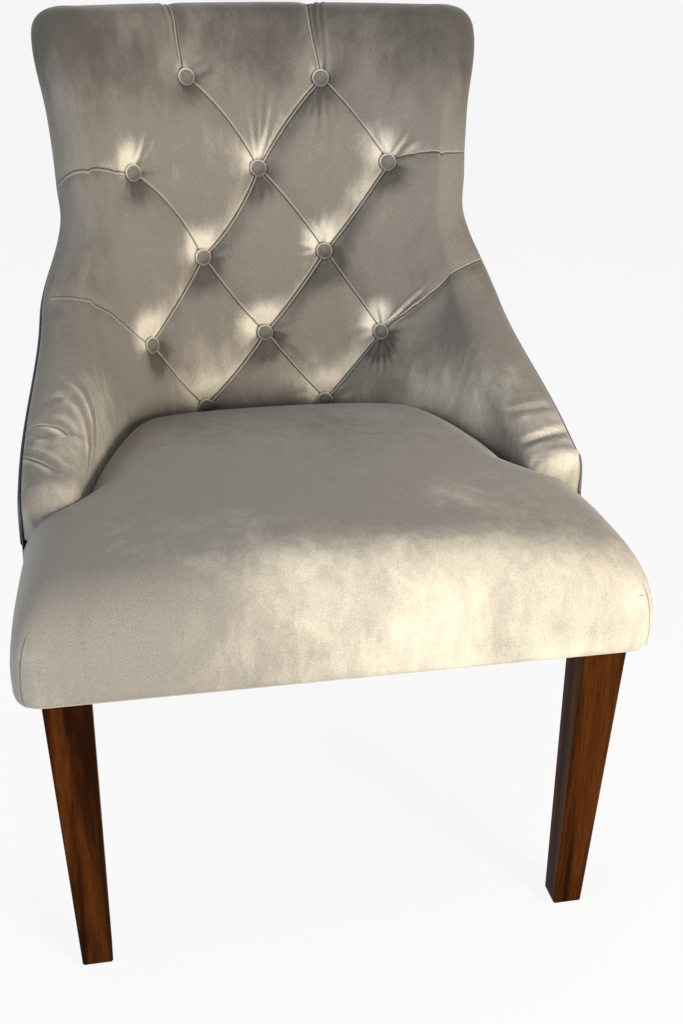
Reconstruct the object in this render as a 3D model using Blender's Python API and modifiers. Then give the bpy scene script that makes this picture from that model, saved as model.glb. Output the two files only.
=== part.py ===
"""A scoop-back chair with a button-tufted back, low swept arms and a tight crowned seat.

Metres, +Z up. The front of the chair faces -Y, and the origin is on the floor under the middle of the chair.
"""

import math

import bmesh
import bpy
import numpy as np
from mathutils import Vector
from mathutils.geometry import interpolate_bezier

# Clearances and cloth
GAP = 0.0003
FORM_GAP = 0.0005
FACET_GAP = 0.0015
CLOTH = 0.0012
OVERRUN = 0.0050
CENTRE_SHIFT_Y = 0.0051

# Outer face of the frame in plan: a U at arm height, a shallow arc across the upper back
SHELL_HALF_WIDTH = 0.3180
SHELL_START_Y = -0.1400
SHELL_REAR_Y = 0.2675
SHELL_POWER_SHARE = 2.40
ARC_RADIUS = 0.4100
ARC_RUN = 0.2900
ARC_END_RUN = 0.3500
ARC_FLARE = 0.0330
RAKE = 0.0830
RAKE_START_Z = 0.5000
PLAN_LOW_Z = 0.4700
PLAN_HIGH_Z = 0.7000
TURN_SPAN = 0.0500

# Edge of back, wings and arms, seen from the side
BACK_TOP_Z = 0.9600
CORNER_RADIUS = 0.0340
WING_HALF_WIDTH = 0.2680
WAIST_Z = 0.7450
SWOOP_UPPER_Y = 0.1920
SWOOP_UPPER_Z = 0.6450
SWOOP_LOWER_Y = 0.0600
SWOOP_LOWER_Z = 0.6050
ARM_TIP_Y = -0.1180
ARM_TIP_Z = 0.5100
ARM_FRONT_Y = -0.1450
ARM_NOSE_Z = 0.4880
ARM_FOOT_Z = 0.4390
EDGE_BULGE = 0.0180
FRONT_BULGE = 0.0130
EDGE_WRAP = 0.0100

# Thickness of the upholstered wall
WALL_BACK = 0.0710
WALL_SIDE = 0.0600
WALL_FILL = 0.0160
WALL_FILL_Z = 0.6000
FILL_NEAR_Q = 0.2200
FILL_FAR_Q = 0.5600

# Layers of the wall, counted in from its outer face
TAIL_INSET = CLOTH + 3 * GAP
TAIL_SLOPE = 0.0018
TAIL_LENGTH = 0.0080
SEAM_PROUD = 0.0026
SEAM_BAND = 0.0140
FRONT_BAND_SHARE = 0.20
HEM = 0.0100
BOARD_INSET = 0.0070
BOARD_THICKNESS = 0.0200
BURLAP_INSET = BOARD_INSET + BOARD_THICKNESS + FACET_GAP + FORM_GAP
BURLAP = 0.0010
PAD_INSET = BURLAP_INSET + BURLAP + FORM_GAP
EDGE_MARGIN = 0.0040

# Tufting: five rows of buttons on a diamond lattice
TUFT_PITCH_X = 0.0975
TUFT_PITCH_Z = 0.1040
TUFT_LOW_Z = 0.4590
TUFT_ROWS = 5
TUFT_DEPTH = 0.0225
GROOVE_DEPTH = 0.0115
GROOVE_WIDTH = 0.0170
DIMPLE_WIDTH = 0.0170
COVER_FOOT_Z = 0.4320

# Covered buttons and their ties
BUTTON_RADIUS = 0.0110
BUTTON_RIM = 0.0020
BUTTON_DOME = 0.0058
BUTTON_BACK = 0.0112
BUTTON_FLOOR = 0.0012
TIE_RADIUS = 0.0011
KNOT_RADIUS = 0.0040
KNOT_LENGTH = 0.0030
KNOT_SLACK = 0.0003
KNOT_LEAN = 0.00025

# Seat frame
LEG_TOP_Z = 0.3580
DUST_COVER = 0.0008
RAIL_HEIGHT = 0.0540
SEAT_FRONT_Y = -0.3525
SEAT_INSET = 0.0005
SEAT_HALF_WIDTH = SHELL_HALF_WIDTH - SEAT_INSET
SEAT_TAPER = 0.0115
FRONT_RAIL_INSET = 0.0060
REAR_RAIL_END_Q = 0.2050
BLOCK_HEIGHT = 0.0400
BLOCK_SIDE = 0.0900
BLOCK_DEPTH = 0.0550
REAR_BLOCK_HALF_Q = 0.0400
WOOD_EDGE = 0.0015

# Back frame
POST_WIDTH = 0.0420
POST_THICKNESS = 0.0190
CREST_HEIGHT = 0.0480
LOWER_RAIL_Z = 0.4680
LOWER_RAIL_HEIGHT = 0.0380
SLAT_WIDTH = 0.0300
ARM_RAIL_DEPTH = 0.0420
STUMP_WIDTH = 0.0400

# Legs
LEG_TOP_WIDTH = 0.0490
LEG_FOOT_WIDTH = 0.0330
LEG_INSET = 0.0630
LEG_INNER_X = SHELL_HALF_WIDTH - LEG_INSET
LEG_FRONT_Y = -0.3385
LEG_FOOT_FRONT_Y = -0.3185
REAR_LEG_INSET = 0.1230
REAR_LEG_X = SHELL_HALF_WIDTH - REAR_LEG_INSET
REAR_LEG_Y = 0.1480
REAR_LEG_SPLAY = 0.0080
REAR_LEG_FOOT_X = REAR_LEG_X + REAR_LEG_SPLAY
REAR_LEG_FOOT_Y = 0.2720
GLIDE_HEIGHT = 0.0030
GLIDE_RADIUS = 0.0100
LEG_EDGE = 0.0020

# Leg bolts
BOLT_RADIUS = 0.0040
BOLT_HOLE_RADIUS = 0.0044
BOLT_DEPTH = 0.0340
BOLT_INSET = 0.0500
BOLT_X = SHELL_HALF_WIDTH - BOLT_INSET
BOLT_Y = -0.3020
WASHER_RADIUS = 0.0100
WASHER = 0.0015
NUT_RADIUS = 0.0075
NUT_HEIGHT = 0.0065
BOLT_STAND = 0.0030

# Seat springs and deck
WIRE_RADIUS = 0.0017
SPRING_PLACES_X = (-0.1650, -0.0550, 0.0550, 0.1650)
SPRING_HALF_WIDTH = 0.0220
SPRING_PITCH = 0.0360
CLIP_LEAF = 0.0010
CLIP_LENGTH = 0.0120
CLIP_WIDTH = 0.0160
DECK = 0.0008

# Seat foam and cover
SEAT_CROWN_Z = 0.5030
SEAT_CROWN_Y = -0.0100
SEAT_FALL_SIDE = 0.0300
SEAT_FALL_FRONT = 0.0200
SEAT_FALL_REAR = 0.0500
SEAT_ROLL_SIDE = 0.0400
SEAT_ROLL_FRONT = 0.0540
SEAT_ROLL_REAR = 0.0120
SEAT_BULGE = 0.0030
SEAT_CORNER_RADIUS = 0.0260
NOTCH_LIP = 0.0015
NOTCH_LEAD = 0.0080
SEAT_REAR_SHARE = 0.50

# Counts
FINE_COLUMNS = 7
FAN_COLUMNS = 12
SIDE_COLUMNS = FINE_COLUMNS + FAN_COLUMNS
STEPS_A_CELL = 3
EDGE_ROW = 15
KEPT_FAN_ROWS = (0, 4, 7, 10, 15, 16, 17, 18, 19)
KEPT_BURLAP_ROWS = (0, 1, 4, 7, 10, 13, 15)
ROLL_DEGREES = (0, 60, 120, 175)
SWOOP_STEPS = 5

# Heights that follow from the stack under the seat
RAIL_BOTTOM_Z = LEG_TOP_Z + GAP + DUST_COVER + GAP
RAIL_TOP_Z = RAIL_BOTTOM_Z + RAIL_HEIGHT
WIRE_Z = RAIL_TOP_Z + GAP + CLIP_LEAF + GAP + WIRE_RADIUS
CLIP_TOP_Z = WIRE_Z + WIRE_RADIUS + GAP + CLIP_LEAF
DECK_Z = CLIP_TOP_Z + GAP
TUCK_Z = DECK_Z + DECK + GAP
FOAM_FOOT_Z = TUCK_Z + CLOTH + FORM_GAP
SEAT_HEM_Z = LEG_TOP_Z - GAP - CLOTH

# Places of the seat's rows and columns, as shares
INNER_COLUMN_SHARES = (0.0, 0.34, 0.64, 0.86)
CORNER_SHARES = (0.0, 0.38, 0.75, 1.0)
FRONT_ROW_SHARES = (0.16, 0.40, 0.68)
REAR_ROW_SHARES = (0.0, 0.18, 0.38, 0.58, 0.76, 0.90, 0.965, 1.0)
NOTCH_Y = ARM_FRONT_Y - 2 * GAP
DECK_RUNS = 8
DUST_RUNS = 7
NOTCH_NEAR_SHARE = 0.60
NOTCH_FAR_SHARE = 0.72

# Small forms, as shares
PIERCE_SHARE = 0.15
MERGE_SHARE = 0.1
BUTTON_TOP_SHARES = ((0.42, 0.95), (0.80, 0.72))
WIRE_FLAT_SHARE = 0.55
LOOP_SHARES = (0.15, 0.85)
TIP_LEAN_POWER = 6
SEAT_FALL_POWER = 2.4

# Colours of the materials: base colour, roughness, metallic
VELVET = ("velvet", (0.36, 0.33, 0.29, 1.0), 0.85, 0.0)
SHADE_VELVET = ("velvet_outside", (0.30, 0.29, 0.28, 1.0), 0.85, 0.0)
LACQUER = ("dark_lacquered_wood", (0.075, 0.028, 0.012, 1.0), 0.28, 0.0)
FRAME_WOOD = ("frame_wood", (0.58, 0.42, 0.26, 1.0), 0.70, 0.0)
FOAM = ("foam", (0.86, 0.82, 0.66, 1.0), 0.90, 0.0)
BURLAP_CLOTH = ("burlap", (0.52, 0.43, 0.30, 1.0), 0.95, 0.0)
CAMBRIC = ("black_cambric", (0.03, 0.03, 0.03, 1.0), 0.95, 0.0)
SPRING_STEEL = ("spring_steel", (0.42, 0.42, 0.43, 1.0), 0.38, 1.0)
ZINC = ("zinc_plated_steel", (0.62, 0.62, 0.60, 1.0), 0.35, 1.0)
NYLON = ("nylon", (0.12, 0.11, 0.10, 1.0), 0.50, 0.0)


# Scene and materials

def clear_scene():
    for item in list(bpy.data.objects):
        bpy.data.objects.remove(item, do_unlink=True)


def new_collection(name, hidden=False):
    collection = bpy.data.collections.new(name)
    collection.hide_render = hidden
    bpy.context.scene.collection.children.link(collection)
    return collection


def material(finish):
    name, colour, roughness, metallic = finish
    found = bpy.data.materials.get(name)
    if found:
        return found
    made = bpy.data.materials.new(name)
    made.use_nodes = True
    shader = made.node_tree.nodes["Principled BSDF"]
    shader.inputs["Base Color"].default_value = colour
    shader.inputs["Roughness"].default_value = roughness
    shader.inputs["Metallic"].default_value = metallic
    made.diffuse_color = colour
    return made


def add_object(name, bm, finish, smooth=True):
    """Makes a sub-part of the chair from a closed bmesh."""
    bmesh.ops.recalc_face_normals(bm, faces=bm.faces)
    if bm.calc_volume(signed=True) < 0:
        bmesh.ops.reverse_faces(bm, faces=bm.faces)
    mesh = bpy.data.meshes.new(name)
    bm.to_mesh(mesh)
    bm.free()
    if smooth:
        mesh.shade_smooth()
        mesh.set_sharp_from_angle(angle=math.radians(50))
    item = bpy.data.objects.new(name, mesh)
    mesh.materials.append(material(finish))
    CHAIR.objects.link(item)
    return item


def add_cutter(name, bm):
    mesh = bpy.data.meshes.new(name)
    bmesh.ops.recalc_face_normals(bm, faces=bm.faces)
    bm.to_mesh(mesh)
    bm.free()
    item = bpy.data.objects.new(name, mesh)
    item.hide_render = True
    item.display_type = "WIRE"
    CUTTERS.objects.link(item)
    return item


def cut(item, cutter):
    modifier = item.modifiers.new("cut_" + cutter.name, "BOOLEAN")
    modifier.operation = "DIFFERENCE"
    modifier.solver = "EXACT"
    modifier.object = cutter


def bevel(item, width):
    modifier = item.modifiers.new("edges", "BEVEL")
    modifier.width = width
    modifier.segments = 1
    modifier.limit_method = "ANGLE"


# Plan of the wall

def low_plan():
    """The quarter of the U at arm height, from the middle of the back to the arm: run, x and drop forwards."""
    turn = np.linspace(0, math.pi / 2, 401)
    across = np.sin(turn) ** (2 / SHELL_POWER_SHARE) * SHELL_HALF_WIDTH
    drop = (1 - np.cos(turn) ** (2 / SHELL_POWER_SHARE)) * (SHELL_REAR_Y - SHELL_START_Y)
    run = np.concatenate([[0], np.cumsum(np.hypot(np.diff(across), np.diff(drop)))])
    return run, across, drop


LOW_RUN, LOW_ACROSS, LOW_DROP = low_plan()
QUARTER = float(LOW_RUN[-1])


def high_plan():
    """The shallow arc across the upper back, which turns forwards past the wings."""
    run = np.linspace(0, QUARTER, 401)
    turn = np.minimum(run, ARC_RUN) / ARC_RADIUS
    rest = np.clip((run - ARC_RUN) / (ARC_END_RUN - ARC_RUN), 0, 1)
    turn += (math.pi / 2 - ARC_RUN / ARC_RADIUS) * rest
    step = run[1] - run[0]
    middle = (turn[1:] + turn[:-1]) / 2
    across = np.concatenate([[0], np.cumsum(np.cos(middle) * step)])
    drop = np.concatenate([[0], np.cumsum(np.sin(middle) * step)])
    return run, across, drop


HIGH_RUN, HIGH_ACROSS, HIGH_DROP = high_plan()


def smooth_share(value, start, end):
    share = min(1.0, max(0.0, (value - start) / (end - start)))
    return share * share * (3 - 2 * share)


def rear_y(z):
    share = max(0.0, (z - RAKE_START_Z) / (BACK_TOP_Z - RAKE_START_Z))
    return SHELL_REAR_Y + RAKE * share * share


def shell_xy(q, z):
    """The outer face of the wall at run q from the middle of the back, on the right half."""
    run = min(max(q, 0.0), QUARTER)
    blend = smooth_share(z, PLAN_LOW_Z, PLAN_HIGH_Z)
    flare = 1 + ARC_FLARE / ARC_RADIUS * smooth_share(z, WAIST_Z, 2 * BACK_TOP_Z - WAIST_Z) * 2
    x = (1 - blend) * np.interp(run, LOW_RUN, LOW_ACROSS) + blend * flare * np.interp(run, HIGH_RUN, HIGH_ACROSS)
    drop = (1 - blend) * np.interp(run, LOW_RUN, LOW_DROP) + blend * flare * np.interp(run, HIGH_RUN, HIGH_DROP)
    return float(x), float(rear_y(z) - drop - max(q - QUARTER, 0.0))


def inward(q, z):
    """The level directions from the outer face into the wall and along it, evened out over its bends."""
    x0, y0 = shell_xy(abs(q - TURN_SPAN), z)
    x1, y1 = shell_xy(q + TURN_SPAN, z)
    along = Vector((x1 - math.copysign(x0, q - TURN_SPAN), y1 - y0))
    along.normalize()
    return Vector((along.y, -along.x, 0.0)), Vector((along.x, along.y, 0.0))


def wall(q, z):
    """The thickness of the wall where nothing is tufted."""
    side = smooth_share(q, TUFT_PITCH_X * 2, FILL_FAR_Q - FILL_NEAR_Q)
    plain = WALL_BACK + (WALL_SIDE - WALL_BACK) * side
    middle = 0.0
    if FILL_NEAR_Q < q < FILL_FAR_Q:
        middle = math.sin(math.pi * (q - FILL_NEAR_Q) / (FILL_FAR_Q - FILL_NEAR_Q)) ** 2
    return plain + WALL_FILL * middle * (1 - smooth_share(z, PLAN_LOW_Z, WALL_FILL_Z))


def run_at_y(y, z):
    """The run at which the outer face is at this y."""
    end = shell_xy(QUARTER, z)[1]
    if y <= end:
        return QUARTER + end - y
    runs = np.linspace(0, QUARTER, 241)
    places = np.array([shell_xy(run, z)[1] for run in runs])
    return float(np.interp(-y, -places, runs))


def wall_point(q, z, inset):
    x, y = shell_xy(q, z)
    into, _ = inward(q, z)
    return Vector((x, y, z)) + into * inset


# Edge of the wall: its outline over back, wings and arms as (run, height)

WING_RUN = ARC_RADIUS * math.asin(WING_HALF_WIDTH / ARC_RADIUS)


def swoop_points():
    """The outline from the waist down to the tip of the arm, as (y, z)."""
    waist = Vector((shell_xy(WING_RUN, WAIST_Z)[1], WAIST_Z, 0))
    upper = Vector((SWOOP_UPPER_Y, SWOOP_UPPER_Z, 0))
    lower = Vector((SWOOP_LOWER_Y, SWOOP_LOWER_Z, 0))
    tip = Vector((ARM_TIP_Y, ARM_TIP_Z, 0))
    return interpolate_bezier(waist, upper, lower, tip, SWOOP_STEPS + 1)


def outline_points():
    """One (run, height) for each column of the right half, on the outermost line of the edge."""
    step = TUFT_PITCH_X / STEPS_A_CELL
    points = [(column * step, BACK_TOP_Z) for column in range(FINE_COLUMNS + 1)]
    corner_z = BACK_TOP_Z - CORNER_RADIUS
    lean = math.sqrt(0.5)
    start = WING_RUN - CORNER_RADIUS
    points.append((start + CORNER_RADIUS / 4, BACK_TOP_Z))
    points.append((start + CORNER_RADIUS * lean, BACK_TOP_Z - CORNER_RADIUS * (1 - lean)))
    points.append((WING_RUN, corner_z + CORNER_RADIUS / 4))
    points.append((WING_RUN, (corner_z + WAIST_Z) / 2))
    points += [(run_at_y(place.x, place.y), place.y) for place in swoop_points()]
    points.append((run_at_y(ARM_FRONT_Y, ARM_NOSE_Z), ARM_NOSE_Z))
    points.append((run_at_y(ARM_FRONT_Y, ARM_FOOT_Z), ARM_FOOT_Z))
    return points


def outline_normals(points):
    """The direction out of the wall at each outline point, in (run, height)."""
    normals = []
    last = len(points) - 1
    for index in range(len(points)):
        here = Vector(points[index])
        before = here - Vector(points[max(index - 1, 0)])
        after = Vector(points[min(index + 1, last)]) - here
        along = (before.normalized() + after.normalized()).normalized()
        normals.append((-along.y, along.x))
    normals[0] = (0.0, 1.0)
    normals[last] = (1.0, 0.0)
    return normals


def bulges(points):
    """How far the padded edge stands past the edge of the frame, less at the front of the arms."""
    found = [EDGE_BULGE] * len(points)
    found[-2:] = [FRONT_BULGE, FRONT_BULGE]
    return found


OUTLINE = outline_points()
NORMALS = outline_normals(OUTLINE)
BULGES = bulges(OUTLINE)
EDGE = [
    (point[0] - bulge * normal[0], point[1] - bulge * normal[1])
    for point, normal, bulge in zip(OUTLINE, NORMALS, BULGES)
]
WAIST_COLUMN = FINE_COLUMNS + 5
FRONT_RUN = OUTLINE[-1][0]
FOOT_LAST_Q = EDGE[-1][0] - EDGE_BULGE / 2


def foot_run(column):
    """Where a column of the wall stands on its foot line."""
    if column <= FINE_COLUMNS:
        return EDGE[column][0]
    fine = EDGE[FINE_COLUMNS][0]
    return fine + (FOOT_LAST_Q - fine) * (column - FINE_COLUMNS) / FAN_COLUMNS


def table_value(values, place):
    """The value at a place between two entries of a list."""
    low = min(int(math.floor(place)), len(values) - 2)
    part = place - low
    low_value = values[low]
    high_value = values[low + 1]
    if isinstance(low_value, tuple):
        return tuple(a + (b - a) * part for a, b in zip(low_value, high_value))
    return low_value + (high_value - low_value) * part


FOOTS = [foot_run(column) for column in range(SIDE_COLUMNS + 1)]


def row_shares():
    """How far up a column each row lies, from the foot to the edge."""
    edge_z = BACK_TOP_Z - EDGE_BULGE
    heights = [COVER_FOOT_Z]
    count = (TUFT_ROWS - 1) * STEPS_A_CELL
    heights += [TUFT_LOW_Z + TUFT_PITCH_Z * step / STEPS_A_CELL for step in range(count + 1)]
    heights.append((heights[-1] + edge_z) / 2)
    heights.append(edge_z)
    return [(height - COVER_FOOT_Z) / (edge_z - COVER_FOOT_Z) for height in heights]


ROW_SHARES = row_shares()


# Tufting

def button_cells():
    """The lattice places of the buttons, as (column, row) in half diamonds."""
    cells = []
    for row in range(TUFT_ROWS):
        columns = (-1, 1) if row % 2 == 0 else (-2, 0, 2)
        cells += [(column, row) for column in columns]
    return cells


BUTTON_CELLS = button_cells()


def pleats():
    """Each pleat as two ends in (run, height), for the right half."""
    found = []
    for column, row in BUTTON_CELLS:
        for side in (-1, 1):
            if (column + side, row + 1) in BUTTON_CELLS:
                found.append((lattice(column, row), lattice(column + side, row + 1)))
    top = BACK_TOP_Z
    found.append((lattice(1, TUFT_ROWS - 1), (TUFT_PITCH_X, top)))
    waist = OUTLINE[WAIST_COLUMN]
    upper = lattice(2, TUFT_ROWS - 2)
    found.append((upper, (waist[0], upper[1])))
    found.append((lattice(2, 1), (waist[0], (waist[1] + lattice(2, 2)[1]) / 2)))
    return found


def lattice(column, row):
    return (column * TUFT_PITCH_X, TUFT_LOW_Z + row * TUFT_PITCH_Z)


PLEATS = pleats()


def distance_to(point, ends):
    start = Vector(ends[0])
    along = Vector(ends[1]) - start
    share = (Vector(point) - start).dot(along) / along.length_squared
    share = min(1.0, max(0.0, share))
    return (Vector(point) - start - along * share).length


def tuft_depth(q, z):
    """How far buttons and pleats draw the cover in."""
    groove = min(distance_to((q, z), ends) for ends in PLEATS)
    button = min(math.dist((q, z), lattice(*cell)) for cell in BUTTON_CELLS)
    drawn = GROOVE_DEPTH * math.exp(-((groove / GROOVE_WIDTH) ** 2))
    drawn *= 1 - smooth_share(q, EDGE[FINE_COLUMNS][0], WING_RUN)
    sunk = TUFT_DEPTH * math.exp(-((button / DIMPLE_WIDTH) ** 2))
    return max(drawn, sunk)


# The wall as a field that every layer of upholstery and every board follows

def domain(column, row):
    """(run, height) of a place on the wall: column counts out from the middle, row up from the foot."""
    foot = table_value(FOOTS, column)
    edge = table_value(EDGE, column)
    share = table_value(ROW_SHARES, min(row, EDGE_ROW))
    return foot + (edge[0] - foot) * share, COVER_FOOT_Z + (edge[1] - COVER_FOOT_Z) * share


def inner_point(column, row, layer, rear=False):
    """A point of the inside back: on the face for layer 0, or on the side of the pad that backs it."""
    side = -1.0 if column < 0 else 1.0
    column = abs(column)
    q, z = domain(column, row)
    into, along = inward(q, z)
    depth = PAD_INSET if rear else wall(q, z) - tuft_depth(q, z) - layer
    point = wall_point(q, z, depth)
    if row > EDGE_ROW:
        nq, nz = table_value(NORMALS, column)
        tail = TAIL_INSET + layer
        bulge = table_value(BULGES, column) - layer
        if rear:
            tail = TAIL_INSET + CLOTH + FORM_GAP + CLOTH
            bulge -= EDGE_WRAP
        middle = (wall_point(q, z, tail) + point) / 2
        out = (along * nq + Vector((0.0, 0.0, nz))).normalized()
        if row <= EDGE_ROW + len(ROLL_DEGREES) - 1:
            turn = math.radians(table_value(ROLL_DEGREES, row - EDGE_ROW))
            point = middle + (point - middle) * math.cos(turn) + out * (bulge * math.sin(turn))
        else:
            point = wall_point(q - nq * TAIL_LENGTH, z - nz * TAIL_LENGTH, tail + TAIL_SLOPE)
    return Vector((point.x * side, point.y, point.z))


def unit_grid(columns, rows):
    """An open sheet of quads whose points stand at (column, row), counted from its lower left corner."""
    bm = bmesh.new()
    bmesh.ops.create_grid(bm, x_segments=columns, y_segments=rows, size=0.5)
    bmesh.ops.translate(bm, verts=bm.verts, vec=(0.5, 0.5, 0.0))
    bmesh.ops.scale(bm, verts=bm.verts, vec=(columns, rows, 1.0))
    return bm


def slab(name, bm, place, finish):
    """Closes a sheet into a body: place(column, row, side) puts its near side, 0, and far side, 1."""
    faces = bmesh.ops.extrude_face_region(bm, geom=bm.faces[:], use_keep_orig=True)["geom"]
    far = [item for item in faces if isinstance(item, bmesh.types.BMVert)]
    bmesh.ops.translate(bm, verts=far, vec=(0.0, 0.0, 1.0))
    for vert in bm.verts:
        vert.co = place(vert.co.x, vert.co.y, round(vert.co.z))
    return add_object(name, bm, finish)


def split_cells(bm, middle):
    """Splits each cell of a sheet along the pleat that crosses it, or along the nearer one."""
    step = STEPS_A_CELL

    def off_line(value):
        return abs((value + step) % (2 * step) - step)

    for face in [face for face in bm.faces if len(face.verts) == 4]:
        corners = sorted(face.verts, key=lambda vert: (round(vert.co.x), round(vert.co.y)))
        low_left, high_left, low_right, high_right = corners
        column = round(low_left.co.x) - middle
        row = round(low_left.co.y) - 1
        rising = off_line(column - row - step)
        falling = off_line(column + row + 1 - step)
        ends = (low_left, high_right) if rising < falling else (high_left, low_right)
        if rising == falling and column < 0:
            ends = (low_left, high_right)
        if max(abs(column), abs(column + 1)) > FINE_COLUMNS:
            ends = shorter_diagonal(corners, middle)
        bmesh.utils.face_split(face, *ends)
    for face in [face for face in bm.faces if len(face.verts) > 4]:
        fan_out(bm, face, middle)
    bmesh.ops.recalc_face_normals(bm, faces=bm.faces)


def shorter_diagonal(corners, middle):
    """The two opposite corners of a cell that lie nearer each other on the inside face."""
    points = [inner_point(vert.co.x - middle, round(vert.co.y), 0.0) for vert in corners]
    low_left, high_left, low_right, high_right = corners
    if (points[0] - points[3]).length < (points[1] - points[2]).length:
        return low_left, high_right
    return high_left, low_right


def fan_out(bm, face, middle):
    """Replaces a cell between fine and coarse rows with triangles from its two outer corners."""
    order = sorted(face.verts, key=lambda vert: (round(abs(vert.co.x - middle)), round(vert.co.y)))
    low, high = order[-2:]
    near = order[:-2]
    turn = len(near) // 2
    bm.faces.remove(face)
    for index in range(len(near) - 1):
        bm.faces.new((near[index], near[index + 1], low if index < turn else high))
    bm.faces.new((low, high, near[turn]))


def level_row(edge):
    """The row that an edge of a sheet lies on, or None for one that runs up it."""
    low, high = sorted(round(vert.co.y) for vert in edge.verts)
    return low if low == high else None


def wall_grid(rows, holes):
    """The sheet of the inside back: fine where it is tufted, with fewer rows over wings and arms."""
    bm = unit_grid(2 * SIDE_COLUMNS, rows)
    spare = []
    for edge in bm.edges:
        out = max(abs(vert.co.x - SIDE_COLUMNS) for vert in edge.verts) > FINE_COLUMNS + 0.5
        row = level_row(edge)
        if out and row is not None and row not in KEPT_FAN_ROWS and row < rows:
            spare.append(edge)
    bmesh.ops.dissolve_edges(bm, edges=spare, use_verts=True)
    split_cells(bm, SIDE_COLUMNS)
    if holes:
        pierce(bm, SIDE_COLUMNS)
    return bm


def pierce(bm, middle):
    """Opens a small hole in a sheet at each button."""
    step = STEPS_A_CELL
    places = {(middle + column * step, 1 + row * step) for column, row in BUTTON_CELLS}
    found = [vert for vert in bm.verts if (round(vert.co.x, 3), round(vert.co.y, 3)) in places]
    made = bmesh.ops.bevel(bm, geom=found, offset=PIERCE_SHARE, segments=1, affect="VERTICES", profile=0.5)
    bmesh.ops.delete(bm, geom=made["faces"], context="FACES")


def back_cover():
    last = EDGE_ROW + len(ROLL_DEGREES)

    def place(column, row, side):
        return inner_point(column - SIDE_COLUMNS, row, CLOTH * side)

    return slab("back_cover", wall_grid(last, True), place, VELVET)


def back_foam():
    last = EDGE_ROW + len(ROLL_DEGREES) - 1

    def place(column, row, side):
        return inner_point(column - SIDE_COLUMNS, row, CLOTH + FORM_GAP, rear=side == 1)

    return slab("back_foam", wall_grid(last, True), place, FOAM)


def back_burlap():
    """Burlap between the posts, behind the foam."""
    bm = unit_grid(2 * FINE_COLUMNS, EDGE_ROW)
    spare = [edge for edge in bm.edges if level_row(edge) not in KEPT_BURLAP_ROWS + (None,)]
    bmesh.ops.dissolve_edges(bm, edges=spare, use_verts=True)
    pierce(bm, FINE_COLUMNS)
    bmesh.ops.triangulate(bm, faces=bm.faces)

    def place(column, row, side):
        out = column - FINE_COLUMNS
        q, z = domain(abs(out), row)
        point = wall_point(q, z, BURLAP_INSET + BURLAP * side)
        return Vector((math.copysign(point.x, out), point.y, point.z))

    return slab("back_burlap", bm, place, BURLAP_CLOTH)


def outside_cover():
    """The outside of back and arms, from the hem to the seam along the edge."""
    height_shares = (0.0, 0.0, 0.22, 0.42, 0.62, 0.82, 1.0, 1.0)
    proud = (HEM, 0.0, 0.0, 0.0, 0.0, 0.0, -SEAM_PROUD, -CLOTH)
    last = len(height_shares) - 1
    feet = FOOTS[:-1] + [FRONT_RUN - GAP]

    def place(column, row, side):
        out = column - SIDE_COLUMNS
        at = abs(out)
        edge = table_value(EDGE, at)
        normal = table_value(NORMALS, at)
        band = SEAM_BAND if row < last - 0.5 else 0.0
        if at > SIDE_COLUMNS - 0.5:
            band *= FRONT_BAND_SHARE
        top = (edge[0] - normal[0] * band, edge[1] - normal[1] * band)
        share = height_shares[round(row)]
        lean = share ** TIP_LEAN_POWER if at > SIDE_COLUMNS - 0.5 else share
        foot = table_value(feet, at)
        q = foot + (top[0] - foot) * lean
        z = SEAT_HEM_Z + (top[1] - SEAT_HEM_Z) * share
        if row < 1.5:
            z += CLOTH * side
        inset = proud[round(row)] + (CLOTH * side if row > 0.5 else 0.0)
        point = wall_point(q, z, inset)
        return Vector((math.copysign(point.x, out), point.y, point.z))

    bm = unit_grid(2 * SIDE_COLUMNS, last)
    for face in bm.faces[:]:
        corners = sorted(face.verts, key=lambda vert: (round(vert.co.x), round(vert.co.y)))
        low_left, high_left, low_right, high_right = corners
        ends = (low_left, high_right) if low_left.co.x < SIDE_COLUMNS else (high_left, low_right)
        bmesh.utils.face_split(face, *ends)
    return slab("outside_cover", bm, place, SHADE_VELVET)


# Buttons and ties

def turned(name, profile, steps, place, facing, finish):
    """A turned piece: a profile of (radius, height), from the top down its outer side, spun about its axis."""
    mesh = bpy.data.meshes.new(name)
    edges = [(index, index + 1) for index in range(len(profile) - 1)]
    mesh.from_pydata([(radius, 0.0, height) for radius, height in profile], edges, [])
    item = bpy.data.objects.new(name, mesh)
    item.location = place
    item.rotation_mode = "QUATERNION"
    item.rotation_quaternion = Vector((0, 0, 1)).rotation_difference(facing)
    screw = item.modifiers.new("turn", "SCREW")
    screw.axis = "Z"
    screw.steps = steps
    screw.render_steps = steps
    screw.use_merge_vertices = True
    screw.merge_threshold = GAP * MERGE_SHARE
    screw.use_smooth_shade = True
    mesh.materials.append(material(finish))
    CHAIR.objects.link(item)
    return item


def button_place(column, row):
    """The floor of the dimple that a button sits in, and the way that the button faces."""
    side = -1.0 if column < 0 else 1.0
    q, z = lattice(abs(column), row)
    into, _ = inward(q, z)
    floor = wall_point(q, z, wall(q, z) - TUFT_DEPTH)
    return Vector((floor.x * side, floor.y, floor.z)), Vector((into.x * side, into.y, into.z)), wall(q, z)


def button_name(column, row):
    side = {-2: "left", -1: "left", 0: "middle", 1: "right", 2: "right"}[column]
    return f"button_row{TUFT_ROWS - row}_{side}"


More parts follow.
